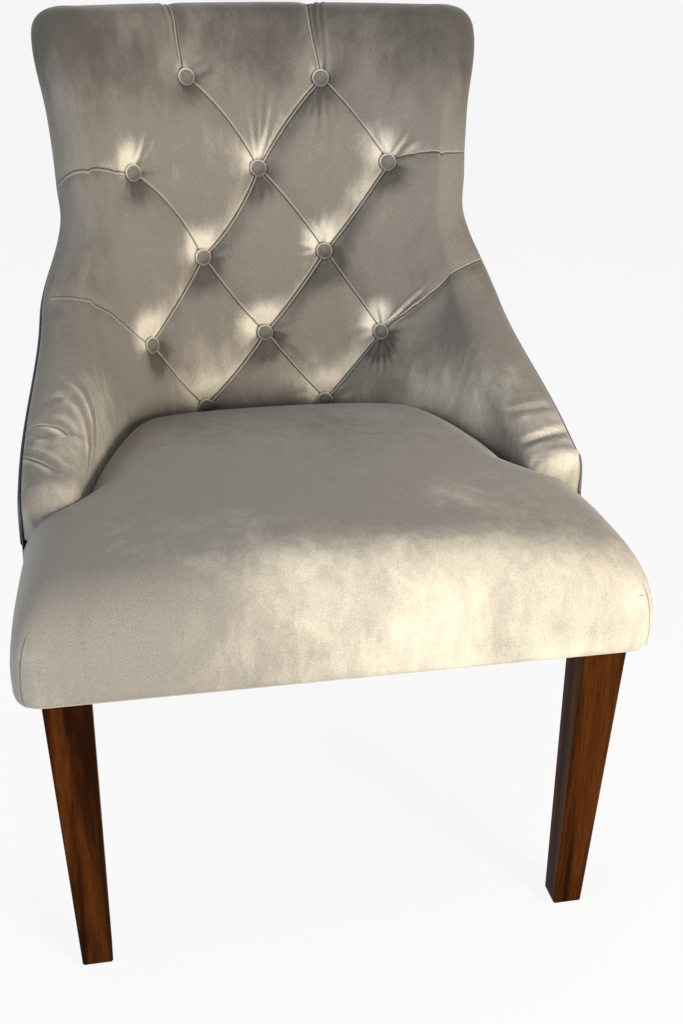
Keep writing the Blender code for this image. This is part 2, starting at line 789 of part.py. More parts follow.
def buttons():
    """Covered buttons, each on the twine that draws it in, knotted behind the burlap."""
    base = BUTTON_FLOOR + BUTTON_BACK
    rim = base + BUTTON_RIM
    for column, row in BUTTON_CELLS:
        floor, facing, thickness = button_place(column, row)
        knot = BURLAP_INSET - KNOT_SLACK - KNOT_LEAN * row - (thickness - TUFT_DEPTH)
        profile = [
            (0.0, base + BUTTON_DOME),
            *((BUTTON_RADIUS * out, base + BUTTON_DOME * up) for out, up in BUTTON_TOP_SHARES),
            (BUTTON_RADIUS, rim),
            (BUTTON_RADIUS, base),
            (TIE_RADIUS, BUTTON_FLOOR),
            (TIE_RADIUS, knot),
            (KNOT_RADIUS, knot),
            (KNOT_RADIUS, knot - KNOT_LENGTH),
            (0.0, knot - KNOT_LENGTH),
        ]
        turned(button_name(column, row), profile, 10, floor, facing, VELVET)


# Frame boards

def board(name, columns, rows, place_domain, near, far, finish=FRAME_WOOD, mirrored=False):
    """A shaped board inside the wall, between two insets from its outer face."""

    def place(column, row, side):
        q, z = place_domain(column, row)
        point = wall_point(abs(q), z, near if side == 0 else far)
        flip = -1.0 if (q < 0) != mirrored else 1.0
        return Vector((point.x * flip, point.y, point.z))

    return slab(name, unit_grid(columns, rows), place, finish)


def level_board(name, start_q, end_q, columns, bottom_z, top_z, near, far, mirrored=False):
    def place_domain(column, row):
        return start_q + (end_q - start_q) * column / columns, bottom_z + (top_z - bottom_z) * row

    return board(name, columns, 1, place_domain, near, far, mirrored=mirrored)


def frame_boards():
    near = BOARD_INSET
    far = BOARD_INSET + BOARD_THICKNESS
    front_end = run_at_y(SEAT_FRONT_Y + FRONT_RAIL_INSET + BOARD_THICKNESS + GAP, RAIL_TOP_Z)
    level_board("rear_rail", -REAR_RAIL_END_Q, REAR_RAIL_END_Q, 12, RAIL_BOTTOM_Z, RAIL_TOP_Z, near, far)
    post_end = EDGE[WAIST_COLUMN][0] - EDGE_MARGIN
    post_start = post_end - POST_WIDTH
    for mirrored, word in ((True, "left"), (False, "right")):
        level_board(
            f"side_rail_{word}", REAR_RAIL_END_Q + GAP, front_end, 14,
            RAIL_BOTTOM_Z, RAIL_TOP_Z, near, far, mirrored,
        )
        post(word, mirrored, post_start, post_end)
        arm(word, mirrored, post_end + GAP)
    crest_z = BACK_TOP_Z - EDGE_BULGE - EDGE_MARGIN
    reach = post_start - GAP
    level_board("crest_rail", -reach, reach, 14, crest_z - CREST_HEIGHT, crest_z, near, far)
    lower_top = LOWER_RAIL_Z + LOWER_RAIL_HEIGHT
    level_board("lower_back_rail", -reach, reach, 12, LOWER_RAIL_Z, lower_top, near, far)
    slats(lower_top + GAP, crest_z - CREST_HEIGHT - GAP)
    front_rail()


def post(word, mirrored, start, end):
    """A back post stands on the rails and follows the rake of the back."""
    top = BACK_TOP_Z - EDGE_BULGE - EDGE_MARGIN - CORNER_RADIUS / 2
    bottom = RAIL_TOP_Z + GAP
    rows = 6

    def place_domain(column, row):
        return start + (end - start) * column, bottom + (top - bottom) * row / rows

    board(
        f"back_post_{word}", 1, rows, place_domain, BOARD_INSET, BOARD_INSET + POST_THICKNESS,
        mirrored=mirrored,
    )


def arm(word, mirrored, start):
    """An arm rail follows the sweep from the post to the tip, over a short stump on the side rail."""
    line = [(q, z - EDGE_MARGIN) for q, z in EDGE[WAIST_COLUMN + 1:WAIST_COLUMN + SWOOP_STEPS + 1]]
    line = [(start, line[0][1])] + line
    columns = len(line) - 1
    end, end_z = line[-1]
    far = BOARD_INSET + BOARD_THICKNESS

    def rail_domain(column, row):
        q, z = table_value(line, column)
        return q, z - ARM_RAIL_DEPTH * (1 - row)

    def stump_domain(column, row):
        q = end - STUMP_WIDTH * (1 - column)
        top = float(np.interp(q, [q for q, _ in line], [z for _, z in line]))
        top -= ARM_RAIL_DEPTH + FACET_GAP
        bottom = RAIL_TOP_Z + GAP
        return q, bottom + (top - bottom) * row

    board(f"arm_rail_{word}", columns, 1, rail_domain, BOARD_INSET, far, mirrored=mirrored)
    board(f"arm_stump_{word}", 1, 1, stump_domain, BOARD_INSET, far, mirrored=mirrored)


def slats(bottom_z, top_z):
    """Shaped slats between the lower rail and the crest rail, under the burlap."""
    rows = 4
    far = BOARD_INSET + BOARD_THICKNESS
    for number, middle_share in enumerate((-1.5, -0.5, 0.5, 1.5), 1):
        middle = middle_share * TUFT_PITCH_X

        def place_domain(column, row, middle=middle):
            return middle + (column - 0.5) * SLAT_WIDTH, bottom_z + (top_z - bottom_z) * row / rows

        board(f"back_slat_{number}", 1, rows, place_domain, BOARD_INSET, far)


def box(low, high):
    """A box between two corners."""
    bm = bmesh.new()
    bmesh.ops.create_cube(bm, size=1.0)
    size = [b - a for a, b in zip(low, high)]
    middle = [(a + b) / 2 for a, b in zip(low, high)]
    bmesh.ops.scale(bm, verts=bm.verts, vec=size)
    bmesh.ops.translate(bm, verts=bm.verts, vec=middle)
    return bm


def front_rail():
    half = SHELL_HALF_WIDTH - BOARD_INSET
    front = SEAT_FRONT_Y + FRONT_RAIL_INSET
    bm = box((-half, front, RAIL_BOTTOM_Z), (half, front + BOARD_THICKNESS, RAIL_TOP_Z))
    bevel(add_object("front_rail", bm, FRAME_WOOD, smooth=False), WOOD_EDGE)


# Corner blocks and leg bolts

def cylinder(radius, low_z, high_z, segments):
    """An upright cylinder on the Z axis."""
    bm = bmesh.new()
    bmesh.ops.create_cone(
        bm, cap_ends=True, segments=segments, radius1=radius, radius2=radius, depth=high_z - low_z
    )
    bmesh.ops.translate(bm, verts=bm.verts, vec=(0.0, 0.0, (low_z + high_z) / 2))
    return bm


def corner_places():
    """The name and the leg bolt's place for each corner of the seat frame."""
    places = {}
    for side, word in ((-1, "left"), (1, "right")):
        places[f"front_{word}"] = (side * BOLT_X, BOLT_Y)
        places[f"rear_{word}"] = (side * REAR_LEG_X, REAR_LEG_Y)
    return places


def front_block(side, name):
    """A three-cornered block behind the front rail."""
    corner_x = SHELL_HALF_WIDTH - BOARD_INSET - BOARD_THICKNESS - GAP
    corner_y = SEAT_FRONT_Y + FRONT_RAIL_INSET + BOARD_THICKNESS + GAP
    outline = [
        (side * corner_x, corner_y),
        (side * corner_x, corner_y + BLOCK_SIDE),
        (side * (corner_x - BLOCK_SIDE), corner_y),
    ]
    return flat_sheet(name, outline, RAIL_BOTTOM_Z, BLOCK_HEIGHT, FRAME_WOOD)


def rear_block(side, name):
    """A block that follows the bend of the frame where the rear rail meets the side rail."""
    inner = BOARD_INSET + BOARD_THICKNESS + FACET_GAP

    def place_domain(column, row):
        q = REAR_RAIL_END_Q + REAR_BLOCK_HALF_Q * (column / 2 - 1)
        return q, RAIL_BOTTOM_Z + BLOCK_HEIGHT * row

    return board(name, 4, 1, place_domain, inner, inner + BLOCK_DEPTH, mirrored=side < 0)


def flange_nut(name, base_z):
    """A hexagon nut that stands on its own washer."""
    rings = []
    levels = ((0.0, False), (WASHER, False), (WASHER, True), (NUT_HEIGHT, True))
    for height, hexagon in levels:
        ring = []
        for step in range(12):
            turn = math.tau * step / 12
            radius = WASHER_RADIUS
            if hexagon:
                radius = NUT_RADIUS * (math.cos(math.pi / 6) if step % 2 else 1)
            ring.append(Vector((radius * math.cos(turn), radius * math.sin(turn), base_z + height)))
        rings.append(ring)
    return loft(name, rings, ZINC)


def bolts_and_blocks():
    """A block in each corner, and the bolt that holds a leg to it with a nut."""
    block_top = RAIL_BOTTOM_Z + BLOCK_HEIGHT
    nut_top = block_top + GAP + NUT_HEIGHT
    low = LEG_TOP_Z - BOLT_DEPTH
    holes = {}
    for corner, (x, y) in corner_places().items():
        hole = add_cutter(
            f"bolt_hole_{corner}", cylinder(BOLT_HOLE_RADIUS, low - GAP, nut_top + OVERRUN, 8)
        )
        hole.location = (x, y, 0.0)
        bolt = add_object(f"leg_bolt_{corner}", cylinder(BOLT_RADIUS, low, nut_top + BOLT_STAND, 8), ZINC)
        bolt.location = (x, y, 0.0)
        nut = flange_nut(f"leg_nut_{corner}", block_top + GAP)
        nut.location = (x, y, 0.0)
        side = -1 if x < 0 else 1
        make = front_block if corner.startswith("front") else rear_block
        block = make(side, f"{corner.replace('_', '_block_')}")
        cut(nut, hole)
        cut(block, hole)
        holes[corner] = hole
    return holes


# Legs

def leg(name, top_low, top_high, foot_low, foot_high, hole):
    """A square leg that tapers from its top face to its foot."""
    bm = bmesh.new()
    bmesh.ops.create_cube(bm, size=1.0)
    for vert in bm.verts:
        low, high = (top_low, top_high) if vert.co.z > 0 else (foot_low, foot_high)
        x = high[0] if vert.co.x > 0 else low[0]
        y = high[1] if vert.co.y > 0 else low[1]
        vert.co = (x, y, LEG_TOP_Z if vert.co.z > 0 else GLIDE_HEIGHT + GAP)
    item = add_object(name, bm, LACQUER, smooth=False)
    bevel(item, LEG_EDGE)
    cut(item, hole)


def legs(holes):
    half_top = LEG_TOP_WIDTH / 2
    half_foot = LEG_FOOT_WIDTH / 2
    for side, word in ((-1, "left"), (1, "right")):
        top = sorted((side * LEG_INNER_X, side * (LEG_INNER_X + LEG_TOP_WIDTH)))
        foot = sorted((side * LEG_INNER_X, side * (LEG_INNER_X + LEG_FOOT_WIDTH)))
        leg(
            f"front_leg_{word}",
            (top[0], LEG_FRONT_Y), (top[1], LEG_FRONT_Y + LEG_TOP_WIDTH),
            (foot[0], LEG_FOOT_FRONT_Y), (foot[1], LEG_FOOT_FRONT_Y + LEG_FOOT_WIDTH),
            holes[f"front_{word}"],
        )
        glide(f"front_glide_{word}", sum(foot) / 2, LEG_FOOT_FRONT_Y + half_foot)
        x, y = side * REAR_LEG_X, REAR_LEG_Y
        foot_x, foot_y = side * REAR_LEG_FOOT_X, REAR_LEG_FOOT_Y
        leg(
            f"rear_leg_{word}",
            (x - half_top, y - half_top), (x + half_top, y + half_top),
            (foot_x - half_foot, foot_y - half_foot), (foot_x + half_foot, foot_y + half_foot),
            holes[f"rear_{word}"],
        )
        glide(f"rear_glide_{word}", foot_x, foot_y)


def glide(name, x, y):
    item = add_object(name, cylinder(GLIDE_RADIUS, 0.0, GLIDE_HEIGHT, 12), NYLON)
    item.location = (x, y, 0.0)


# Springs, clips and deck

def rail_inner_y(x):
    """The y of the rear rail's inner face at this x."""
    runs = np.linspace(0, QUARTER / 2, 81)
    points = [wall_point(run, RAIL_TOP_Z, BOARD_INSET + BOARD_THICKNESS) for run in runs]
    return float(np.interp(abs(x), [point.x for point in points], [point.y for point in points]))


def spring_ends(x):
    front = SEAT_FRONT_Y + FRONT_RAIL_INSET + BOARD_THICKNESS
    return front - CLIP_LENGTH / 2, rail_inner_y(x) + CLIP_LENGTH / 2


def spring_curve(x):
    """A sinuous spring: one wire that weaves from side to side between the rails."""
    start, end = spring_ends(x)
    straight = CLIP_LENGTH + 2 * WIRE_RADIUS
    turns = round((end - start - 2 * straight) / SPRING_PITCH)
    pitch = (end - start - 2 * straight) / turns
    points = [(x, start), (x, start + straight)]
    for turn in range(turns):
        y = start + straight + pitch * turn
        out = SPRING_HALF_WIDTH if turn % 2 else -SPRING_HALF_WIDTH
        points.extend((x + out, y + pitch * share) for share in LOOP_SHARES)
    points += [(x, end - straight), (x, end)]
    curve = bpy.data.curves.new("spring", "CURVE")
    curve.dimensions = "3D"
    curve.bevel_depth = WIRE_RADIUS
    curve.bevel_resolution = 2
    curve.use_fill_caps = True
    spline = curve.splines.new("POLY")
    spline.points.add(len(points) - 1)
    crown = DECK_Z - GAP - WIRE_RADIUS - WIRE_Z
    for point, (px, py) in zip(spline.points, points):
        share = min(1.0, max(0.0, (py - start - straight) / (end - start - 2 * straight)))
        point.co = (px, py, WIRE_Z + crown * math.sin(math.pi * share), 1.0)
    item = bpy.data.objects.new("spring", curve)
    CHAIR.objects.link(item)
    return item


def clip(name, x, y, way):
    """A clip folded over the end of a spring: a leaf on the rail, one over the wire and a web between."""
    low = WIRE_Z - WIRE_RADIUS * WIRE_FLAT_SHARE
    high = WIRE_Z + WIRE_RADIUS * WIRE_FLAT_SHARE
    web = y + way * WIRE_RADIUS
    mouth = y + way * CLIP_LENGTH
    back = y - way * CLIP_LEAF
    outline = (
        (back, low - CLIP_LEAF), (mouth, low - CLIP_LEAF), (mouth, low), (web, low),
        (web, high), (mouth, high), (mouth, high + CLIP_LEAF), (back, high + CLIP_LEAF),
    )
    bm = bmesh.new()
    face = bm.faces.new([bm.verts.new((x - CLIP_WIDTH / 2, py, pz)) for py, pz in outline])
    made = bmesh.ops.extrude_face_region(bm, geom=[face])["geom"]
    moved = [item for item in made if isinstance(item, bmesh.types.BMVert)]
    bmesh.ops.translate(bm, verts=moved, vec=(CLIP_WIDTH, 0, 0))
    return add_cutter(name, bm)


def springs():
    """Springs from front to rear rail, each one body with the clips that hold its ends."""
    for number, x in enumerate(SPRING_PLACES_X, 1):
        curve = spring_curve(x)
        graph = bpy.context.evaluated_depsgraph_get()
        mesh = bpy.data.meshes.new_from_object(curve.evaluated_get(graph))
        bpy.data.objects.remove(curve, do_unlink=True)
        bm = bmesh.new()
        bm.from_mesh(mesh)
        bpy.data.meshes.remove(mesh)
        bmesh.ops.remove_doubles(bm, verts=bm.verts, dist=GAP * MERGE_SHARE)
        item = add_object(f"seat_spring_{number}", bm, SPRING_STEEL)
        start, end = spring_ends(x)
        for word, y, way in (("front", start, 1), ("rear", end, -1)):
            join = item.modifiers.new(f"{word}_clip", "BOOLEAN")
            join.operation = "UNION"
            join.solver = "EXACT"
            join.object = clip(f"{word}_clip_{number}", x, y, way)


# Seat: a sheet over its top, in rows from front to rear that step in behind the arms

def seat_columns():
    """How far out each column of the right half lies at the front, closer together in the rolled edge."""
    inner = SEAT_HALF_WIDTH - SEAT_CORNER_RADIUS
    found = [inner * share for share in INNER_COLUMN_SHARES]
    return found + [inner + SEAT_CORNER_RADIUS * share for share in CORNER_SHARES]


def rolled(inset, radius):
    """How far the edge has rolled down, as 1 at the edge and 0 where the top begins."""
    return max(0.0, 1 - inset / radius)


def front_point(x, y):
    """A point of the top in front of the arms, with its corners rounded in plan."""
    out = max(0.0, (x - SEAT_HALF_WIDTH) / SEAT_CORNER_RADIUS + 1)
    ahead = max(0.0, (SEAT_FRONT_Y - y) / SEAT_CORNER_RADIUS + 1)
    round_x = x - SEAT_CORNER_RADIUS * out * (1 - math.sqrt(1 - ahead * ahead / 2))
    round_y = y + SEAT_CORNER_RADIUS * ahead * (1 - math.sqrt(1 - out * out / 2))
    side = rolled(SEAT_HALF_WIDTH - x, SEAT_ROLL_SIDE)
    front = rolled(y - SEAT_FRONT_Y, SEAT_ROLL_FRONT)
    left = min(1.0, (side ** 4 + front ** 4) ** 0.25)
    roll = SEAT_ROLL_SIDE
    if left > 0:
        roll += (SEAT_ROLL_FRONT - SEAT_ROLL_SIDE) * (front / left) ** 4
    drop = roll * (1 - math.sqrt(1 - left * left))
    wider = 1 + SEAT_TAPER / SEAT_HALF_WIDTH * smooth_share(NOTCH_Y - y, 0, NOTCH_Y - SEAT_FRONT_Y)
    return Vector((round_x * wider, round_y, seat_crown(round_x, round_y) - drop))


def seat_crown(x, y):
    """The height of the crowned top before its edge rolls down."""
    fall = SEAT_FALL_SIDE * (abs(x) / SEAT_HALF_WIDTH) ** SEAT_FALL_POWER
    if y < SEAT_CROWN_Y:
        return SEAT_CROWN_Z - fall - SEAT_FALL_FRONT * ((SEAT_CROWN_Y - y) / (SEAT_CROWN_Y - SEAT_FRONT_Y)) ** 3
    rear = SHELL_REAR_Y - WALL_BACK
    return SEAT_CROWN_Z - fall - SEAT_FALL_REAR * ((y - SEAT_CROWN_Y) / (rear - SEAT_CROWN_Y)) ** 2


def inner_wall(q):
    """The plan place of the wall's inner face at the height of the seat, with a clearance."""
    point = wall_point(q, PLAN_LOW_Z, wall(q, PLAN_LOW_Z) + FACET_GAP)
    return Vector((point.x, point.y))


def seat_half_rows():
    """Rows of (point, foot height) over the right half, from front to rear."""
    columns = seat_columns()
    rows = []
    for share in CORNER_SHARES[::-1]:
        y = SEAT_FRONT_Y + SEAT_CORNER_RADIUS * (1 - share)
        rows.append([(front_point(x, y), SEAT_HEM_Z) for x in columns])
    start = SEAT_FRONT_Y + SEAT_CORNER_RADIUS
    for share in FRONT_ROW_SHARES:
        y = start + (NOTCH_Y - start) * share
        rows.append([(front_point(x, y), SEAT_HEM_Z) for x in columns])
    for lead, lip, foot in ((2 * NOTCH_LEAD, 0.0, SEAT_HEM_Z), (NOTCH_LEAD, NOTCH_LIP, TUCK_Z)):
        row = []
        for x in columns:
            u = x / SEAT_HALF_WIDTH
            row.append((front_point(x - lip * u, NOTCH_Y - lead * (1 - u ** 4)), foot))
        rows.append(row)
    side_end = seat_side_end()
    rear_end = side_end * SEAT_REAR_SHARE
    for v in REAR_ROW_SHARES:
        side = inner_wall(side_end + (rear_end - side_end) * v)
        if v == 0:
            side.y = NOTCH_Y
        middle_y = NOTCH_Y + (inner_wall(0.0).y - NOTCH_Y) * v
        row = []
        for x in columns:
            u = x / SEAT_HALF_WIDTH
            straight = Vector((side.x * u, middle_y + (side.y - middle_y) * u))
            last = inner_wall(rear_end * u) - Vector((inner_wall(rear_end).x * u, 0.0))
            last.y -= inner_wall(0.0).y + (inner_wall(rear_end).y - inner_wall(0.0).y) * u
            place = straight + last * v * v
            inset = min(side.x * (1 - u), (inner_wall(0.0).y - NOTCH_Y) * (1 - v))
            left = rolled(inset, SEAT_ROLL_REAR)
            z = seat_crown(place.x, place.y) - SEAT_ROLL_REAR * (1 - math.sqrt(1 - left * left))
            row.append((Vector((place.x, place.y, z)), TUCK_Z))
        rows.append(row)
    return rows


def seat_side_end():
    """The run at which the wall's inner face meets the plane of the arm fronts."""
    return EDGE[-1][0] - FRONT_BULGE


def seat_rows():
    """Both halves of the rows, from left to right."""
    whole = []
    for row in seat_half_rows():
        mirrored = [(Vector((-point.x, point.y, point.z)), foot) for point, foot in row[1:]]
        whole.append(mirrored[::-1] + row)
    return whole


def cloth_face(bm, low, high, middle):
    """Two triangles for each cell between two rows of points, the same way round on both sides."""
    for index in range(len(low) - 1):
        a, b, c, d = low[index], low[index + 1], high[index + 1], high[index]
        if index < middle:
            bm.faces.new((a, b, c))
            bm.faces.new((a, c, d))
        else:
            bm.faces.new((a, b, d))
            bm.faces.new((b, c, d))


def seat_loop(rows):
    """The outermost places of the rows, clockwise from the rear left corner."""
    right = [row[-1] for row in rows[1:-1]]
    left = [row[0] for row in rows[1:-1]]
    return rows[-1] + right[::-1] + rows[0][::-1] + left


def seat_sheet():
    """The outer surface of the seat's cover: the top, the skirt and the hem under the frame."""
    bm = bmesh.new()
    rows = seat_rows()
    layers = [[bm.verts.new(point) for point, _ in row] for row in rows]
    middle = len(rows[0]) // 2
    for low, high in zip(layers, layers[1:]):
        cloth_face(bm, low, high, middle)
    loop = seat_loop(rows)
    ring = seat_loop(layers)
    ways = outline_insets([point for point, _ in loop])
    for share, out, turned_in in ((0.5, SEAT_BULGE, 0.0), (1.0, 0.0, 0.0), (1.0, 0.0, HEM)):
        below = []
        for (point, foot), way in zip(loop, ways):
            at_notch = abs(point.y - NOTCH_Y) < GAP
            free = foot < TUCK_Z and not at_notch
            hem = min(turned_in, 2 * CLOTH) if at_notch else turned_in
            place = point.xy + way * (hem - (out if free else 0.0))
            below.append(bm.verts.new((place.x, place.y, point.z + (foot - point.z) * share)))
        cloth_face(bm, ring + ring[:1], below + below[:1], 0)
        ring = below
    bmesh.ops.recalc_face_normals(bm, faces=bm.faces)
    if layers[len(layers) // 2][middle].normal.z < 0:
        bmesh.ops.reverse_faces(bm, faces=bm.faces)
    bm.normal_update()
    return bm, layers


def drawn_in(vert, depth):
    """A place under a vertex of a sheet, at a depth behind its surface."""
    return vert.co - vert.normal * (vert.calc_shell_factor() * depth)


def outline_insets(points):
    """The level direction into the seat at each point of its outline."""
    count = len(points)
    directions = []
    for index in range(count):
        here = points[index].xy
        first = (here - points[index - 1].xy).normalized()
        second = (points[(index + 1) % count].xy - here).normalized()
        along = (first + second).normalized()
        stretch = 1 / max(0.5, along.dot(first))
        directions.append(Vector((along.y, -along.x)) * stretch)
    return directions


def loft(name, rings, finish):
    """A closed body through rings of points, capped at both ends."""
    bm = bmesh.new()
    layers = [[bm.verts.new(place) for place in ring] for ring in rings]
    for low, high in zip(layers, layers[1:]):
        for index in range(len(low)):
            bm.faces.new((low[index - 1], low[index], high[index], high[index - 1]))
    bm.faces.new(layers[0])
    bm.faces.new(layers[-1])
    return add_object(name, bm, finish)


def seat_cover():
    bm, _ = seat_sheet()
    bm.verts.index_update()
    under = {vert.index: drawn_in(vert, CLOTH) for vert in bm.verts}
    outer = [vert.index for vert in bm.verts]
    made = bmesh.ops.extrude_face_region(bm, geom=bm.faces[:], use_keep_orig=True)["geom"]
    copies = [item for item in made if isinstance(item, bmesh.types.BMVert)]
    for vert, index in zip(copies, outer):
        vert.co = under[index]
    add_object("seat_cover", bm, VELVET)


def seat_foam():
    """Foam on the deck, under the cover."""
    sheet, layers = seat_sheet()
    depth = CLOTH + FORM_GAP
    rows = [[drawn_in(vert, depth) for vert in row[2:-2]] for row in layers[2:-2]]
    sheet.free()
    first = len(CORNER_SHARES) - 2 + len(FRONT_ROW_SHARES)
    for row in rows[first:first + 3]:
        for place in row:
            out = smooth_share(abs(place.x), SEAT_HALF_WIDTH * NOTCH_NEAR_SHARE, SEAT_HALF_WIDTH * NOTCH_FAR_SHARE)
            place.y -= NOTCH_LEAD * out
            place.z -= NOTCH_LEAD * out
    bm = bmesh.new()
    made = [[bm.verts.new(place) for place in row] for row in rows]
    for low, high in zip(made, made[1:]):
        cloth_face(bm, low, high, len(rows[0]) // 2)
    ring = seat_loop(made)
    foot = [bm.verts.new((vert.co.x, vert.co.y, FOAM_FOOT_Z)) for vert in ring]
    cloth_face(bm, ring + ring[:1], foot + foot[:1], 0)
    bm.faces.new(foot)
    add_object("seat_foam", bm, FOAM)


def flat_sheet(name, outline, bottom_z, thickness, finish):
    rings = [[Vector((x, y, z)) for x, y in outline] for z in (bottom_z, bottom_z + thickness)]
    return loft(name, rings, finish)


def seat_deck():
    """Deck cloth over the springs, inside the posts."""
    reach = BOARD_INSET + BOARD_THICKNESS + FACET_GAP
    half = []
    end = seat_side_end()
    for step in range(DECK_RUNS + 1):
        point = wall_point(end * step / DECK_RUNS, PLAN_LOW_Z, reach)
        half.append((point.x, point.y))
    side = SHELL_HALF_WIDTH - BOARD_INSET
    front = SEAT_FRONT_Y + FRONT_RAIL_INSET
    half += [(half[-1][0], NOTCH_Y), (side, NOTCH_Y), (side, front), (0.0, front)]
    outline = half + [(-x, y) for x, y in half[1:-1]][::-1]
    return flat_sheet("seat_deck", outline, DECK_Z, DECK, BURLAP_CLOTH)


def dust_cover(holes):
    """Black cloth under the frame, inside the hems."""
    reach = HEM + FACET_GAP
    half = []
    for step in range(DUST_RUNS + 1):
        point = wall_point(QUARTER * step / DUST_RUNS, RAIL_BOTTOM_Z, reach)
        half.append((point.x, point.y))
    front = SEAT_FRONT_Y + reach
    half += [(half[-1][0], front), (0.0, front)]
    outline = half + [(-x, y) for x, y in half[1:-1]][::-1]
    item = flat_sheet("dust_cover", outline, LEG_TOP_Z + GAP, DUST_COVER, CAMBRIC)
    for hole in holes.values():
        cut(item, hole)


# The chair

clear_scene()
CHAIR = new_collection("tufted_chair")
CUTTERS = new_collection("cutters", hidden=True)

back_cover()
back_foam()
back_burlap()
outside_cover()
buttons()
frame_boards()
bolt_holes = bolts_and_blocks()
legs(bolt_holes)
springs()
seat_deck()
seat_foam()
seat_cover()
dust_cover(bolt_holes)
for whole in (CHAIR, CUTTERS):
    for item in whole.objects:
        item.location.y += CENTRE_SHIFT_Y
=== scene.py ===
"""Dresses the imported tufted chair: velvet over back, seat and outside, covered buttons and lacquered legs."""

import math

import bmesh
import bpy
import numpy as np
from mathutils import Matrix, Vector
from mathutils import noise as noise_at


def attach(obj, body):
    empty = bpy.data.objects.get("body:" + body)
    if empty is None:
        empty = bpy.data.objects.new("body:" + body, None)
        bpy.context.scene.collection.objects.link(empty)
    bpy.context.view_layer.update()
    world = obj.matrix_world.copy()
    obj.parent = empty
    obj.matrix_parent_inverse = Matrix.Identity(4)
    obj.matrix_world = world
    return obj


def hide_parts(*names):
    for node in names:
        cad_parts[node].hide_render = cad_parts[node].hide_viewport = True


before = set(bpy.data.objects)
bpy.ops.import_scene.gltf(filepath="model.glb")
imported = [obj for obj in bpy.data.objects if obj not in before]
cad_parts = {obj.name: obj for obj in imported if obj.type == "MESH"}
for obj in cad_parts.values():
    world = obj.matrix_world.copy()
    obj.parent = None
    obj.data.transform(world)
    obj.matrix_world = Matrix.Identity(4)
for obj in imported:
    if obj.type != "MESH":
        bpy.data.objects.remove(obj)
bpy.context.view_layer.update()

# Sizes of the wall of the chair, the same as the solids have, in metres
CENTRE_SHIFT_Y = 0.0051
SHELL_HALF_WIDTH = 0.3180
SHELL_START_Y = -0.1400
SHELL_REAR_Y = 0.2675
SHELL_POWER = 2.40
ARC_RADIUS = 0.4100
ARC_RUN = 0.2900
ARC_END_RUN = 0.3500
ARC_FLARE = 0.0330
RAKE = 0.0830
RAKE_START_Z = 0.5000
PLAN_LOW_Z = 0.4700
PLAN_HIGH_Z = 0.7000
TURN_SPAN = 0.0500
TOP_Z = 0.9600
CORNER_RADIUS = 0.0340
WING_HALF_WIDTH = 0.2680
WAIST_Z = 0.7450
ARM_SWEEP = ((0.1920, 0.6450), (0.0600, 0.6050), (-0.1180, 0.5100))
ARM_TIP_Y = -0.1372
ARM_TIP_Z = 0.5010
ARM_FRONT_Y = -0.1450
ARM_NOSE_Z = 0.4880
ARM_FOOT_Z = 0.4390
EDGE_BULGE = 0.0180
FRONT_BULGE = 0.0130
WALL_BACK = 0.0710
WALL_SIDE = 0.0600
WALL_FILL = 0.0160
WALL_FILL_Z = 0.6000
FILL_NEAR_Q = 0.2200
FILL_FAR_Q = 0.5600
WALL_THINS_Q = (0.1950, 0.3400)
PUFF = 0.0140
PUFF_START_Q = (0.10, 0.28)
PUFF_END_Q = (0.62, 0.50)
PUFF_TOP_Z = 0.6400
OPEN_Z = (0.700, 0.820)
SOFTEN_REACH = 0.0600
SOFTEN_WIDTH = 0.0260
SLOPE_STEP = 0.0040
COVER_FOOT_Z = 0.4320
CLOTH = 0.0012
TAIL_INSET = 0.0021
TAIL_LENGTH = 0.0080
PAD_INSET = 0.0306
SEAT_HEM_Z = 0.3565
TUCK_Z = 0.4214
FOAM_FOOT_Z = 0.4230

# Columns of the outline, counted from the middle of the top to the foot of the arm
TOP_PITCH = 0.0325
WING_COLUMN = 11
WAIST_RISES = ((11.6, 0.0350), (11.87, 0.0110))
TIP_COLUMN = 17.5
NOSE_COLUMN = 18
CORNER_COLUMNS = (7.6, 10.2)
WAIST_COLUMN = 12
SWEEP_COLUMNS = 5
LAST_COLUMN = 19
FRONT_COLUMNS = (16.6, 18.2)
FAN_COLUMNS = (11.5, 15.0)
WING_FEET = ((0, 7, 10.2, 12), (0, 0.1800, 0.2000, 0.2350))

# Sizes of the seat
SEAT_FRONT_Y = -0.3525
SEAT_HALF_WIDTH = 0.3175
SEAT_TAPER = 0.0115
SEAT_CROWN_Z = 0.5030
SEAT_CROWN_Y = -0.0100
SEAT_FALL_SIDE = 0.0300
SEAT_FALL_FRONT = 0.0200
SEAT_FALL_REAR = 0.0500
SEAT_ROLL_SIDE = 0.0400
SEAT_ROLL_FRONT = 0.0540
SEAT_ROLL_REAR = 0.0040
SEAT_RIM_DROP = 0.0260
SEAT_RIM = 0.0450
SEAT_BULGE = 0.0030
SEAT_CORNER_RADIUS = 0.0260
SEAT_HEM_TURN = 0.0100
SEAT_HEM_LIFT = 0.0035
SEAT_HEM_SHARE = 0.86
SEAT_LAYERS = 15
SEAT_CORNER_STEPS = 12
SEAT_LEAST_DEPTH = 0.0030
TUCK_TURN = 0.0004
REAR_RIM = 0.0200
REAR_DROP_Q = (0.050, 0.280)
SIDE_DROP_SHARE = (0, 0.30)
NOTCH_LEADS = (0.0160, 0.0060)
NOTCH_SPAN = 0.0035
SEAM_SHIFT = 0.0040
SEAM_WIDTH = 0.0080
SEAM_DEPTH_Y = 0.0300
SEAM_TOP_Z = (0.438, 0.420)
NOTCH_Y = ARM_FRONT_Y - 0.0006
EVENED_NOTCH_Y = (NOTCH_Y - 0.0500, NOTCH_Y + 0.0400)
EVENED_X = (0.250, 0.295)
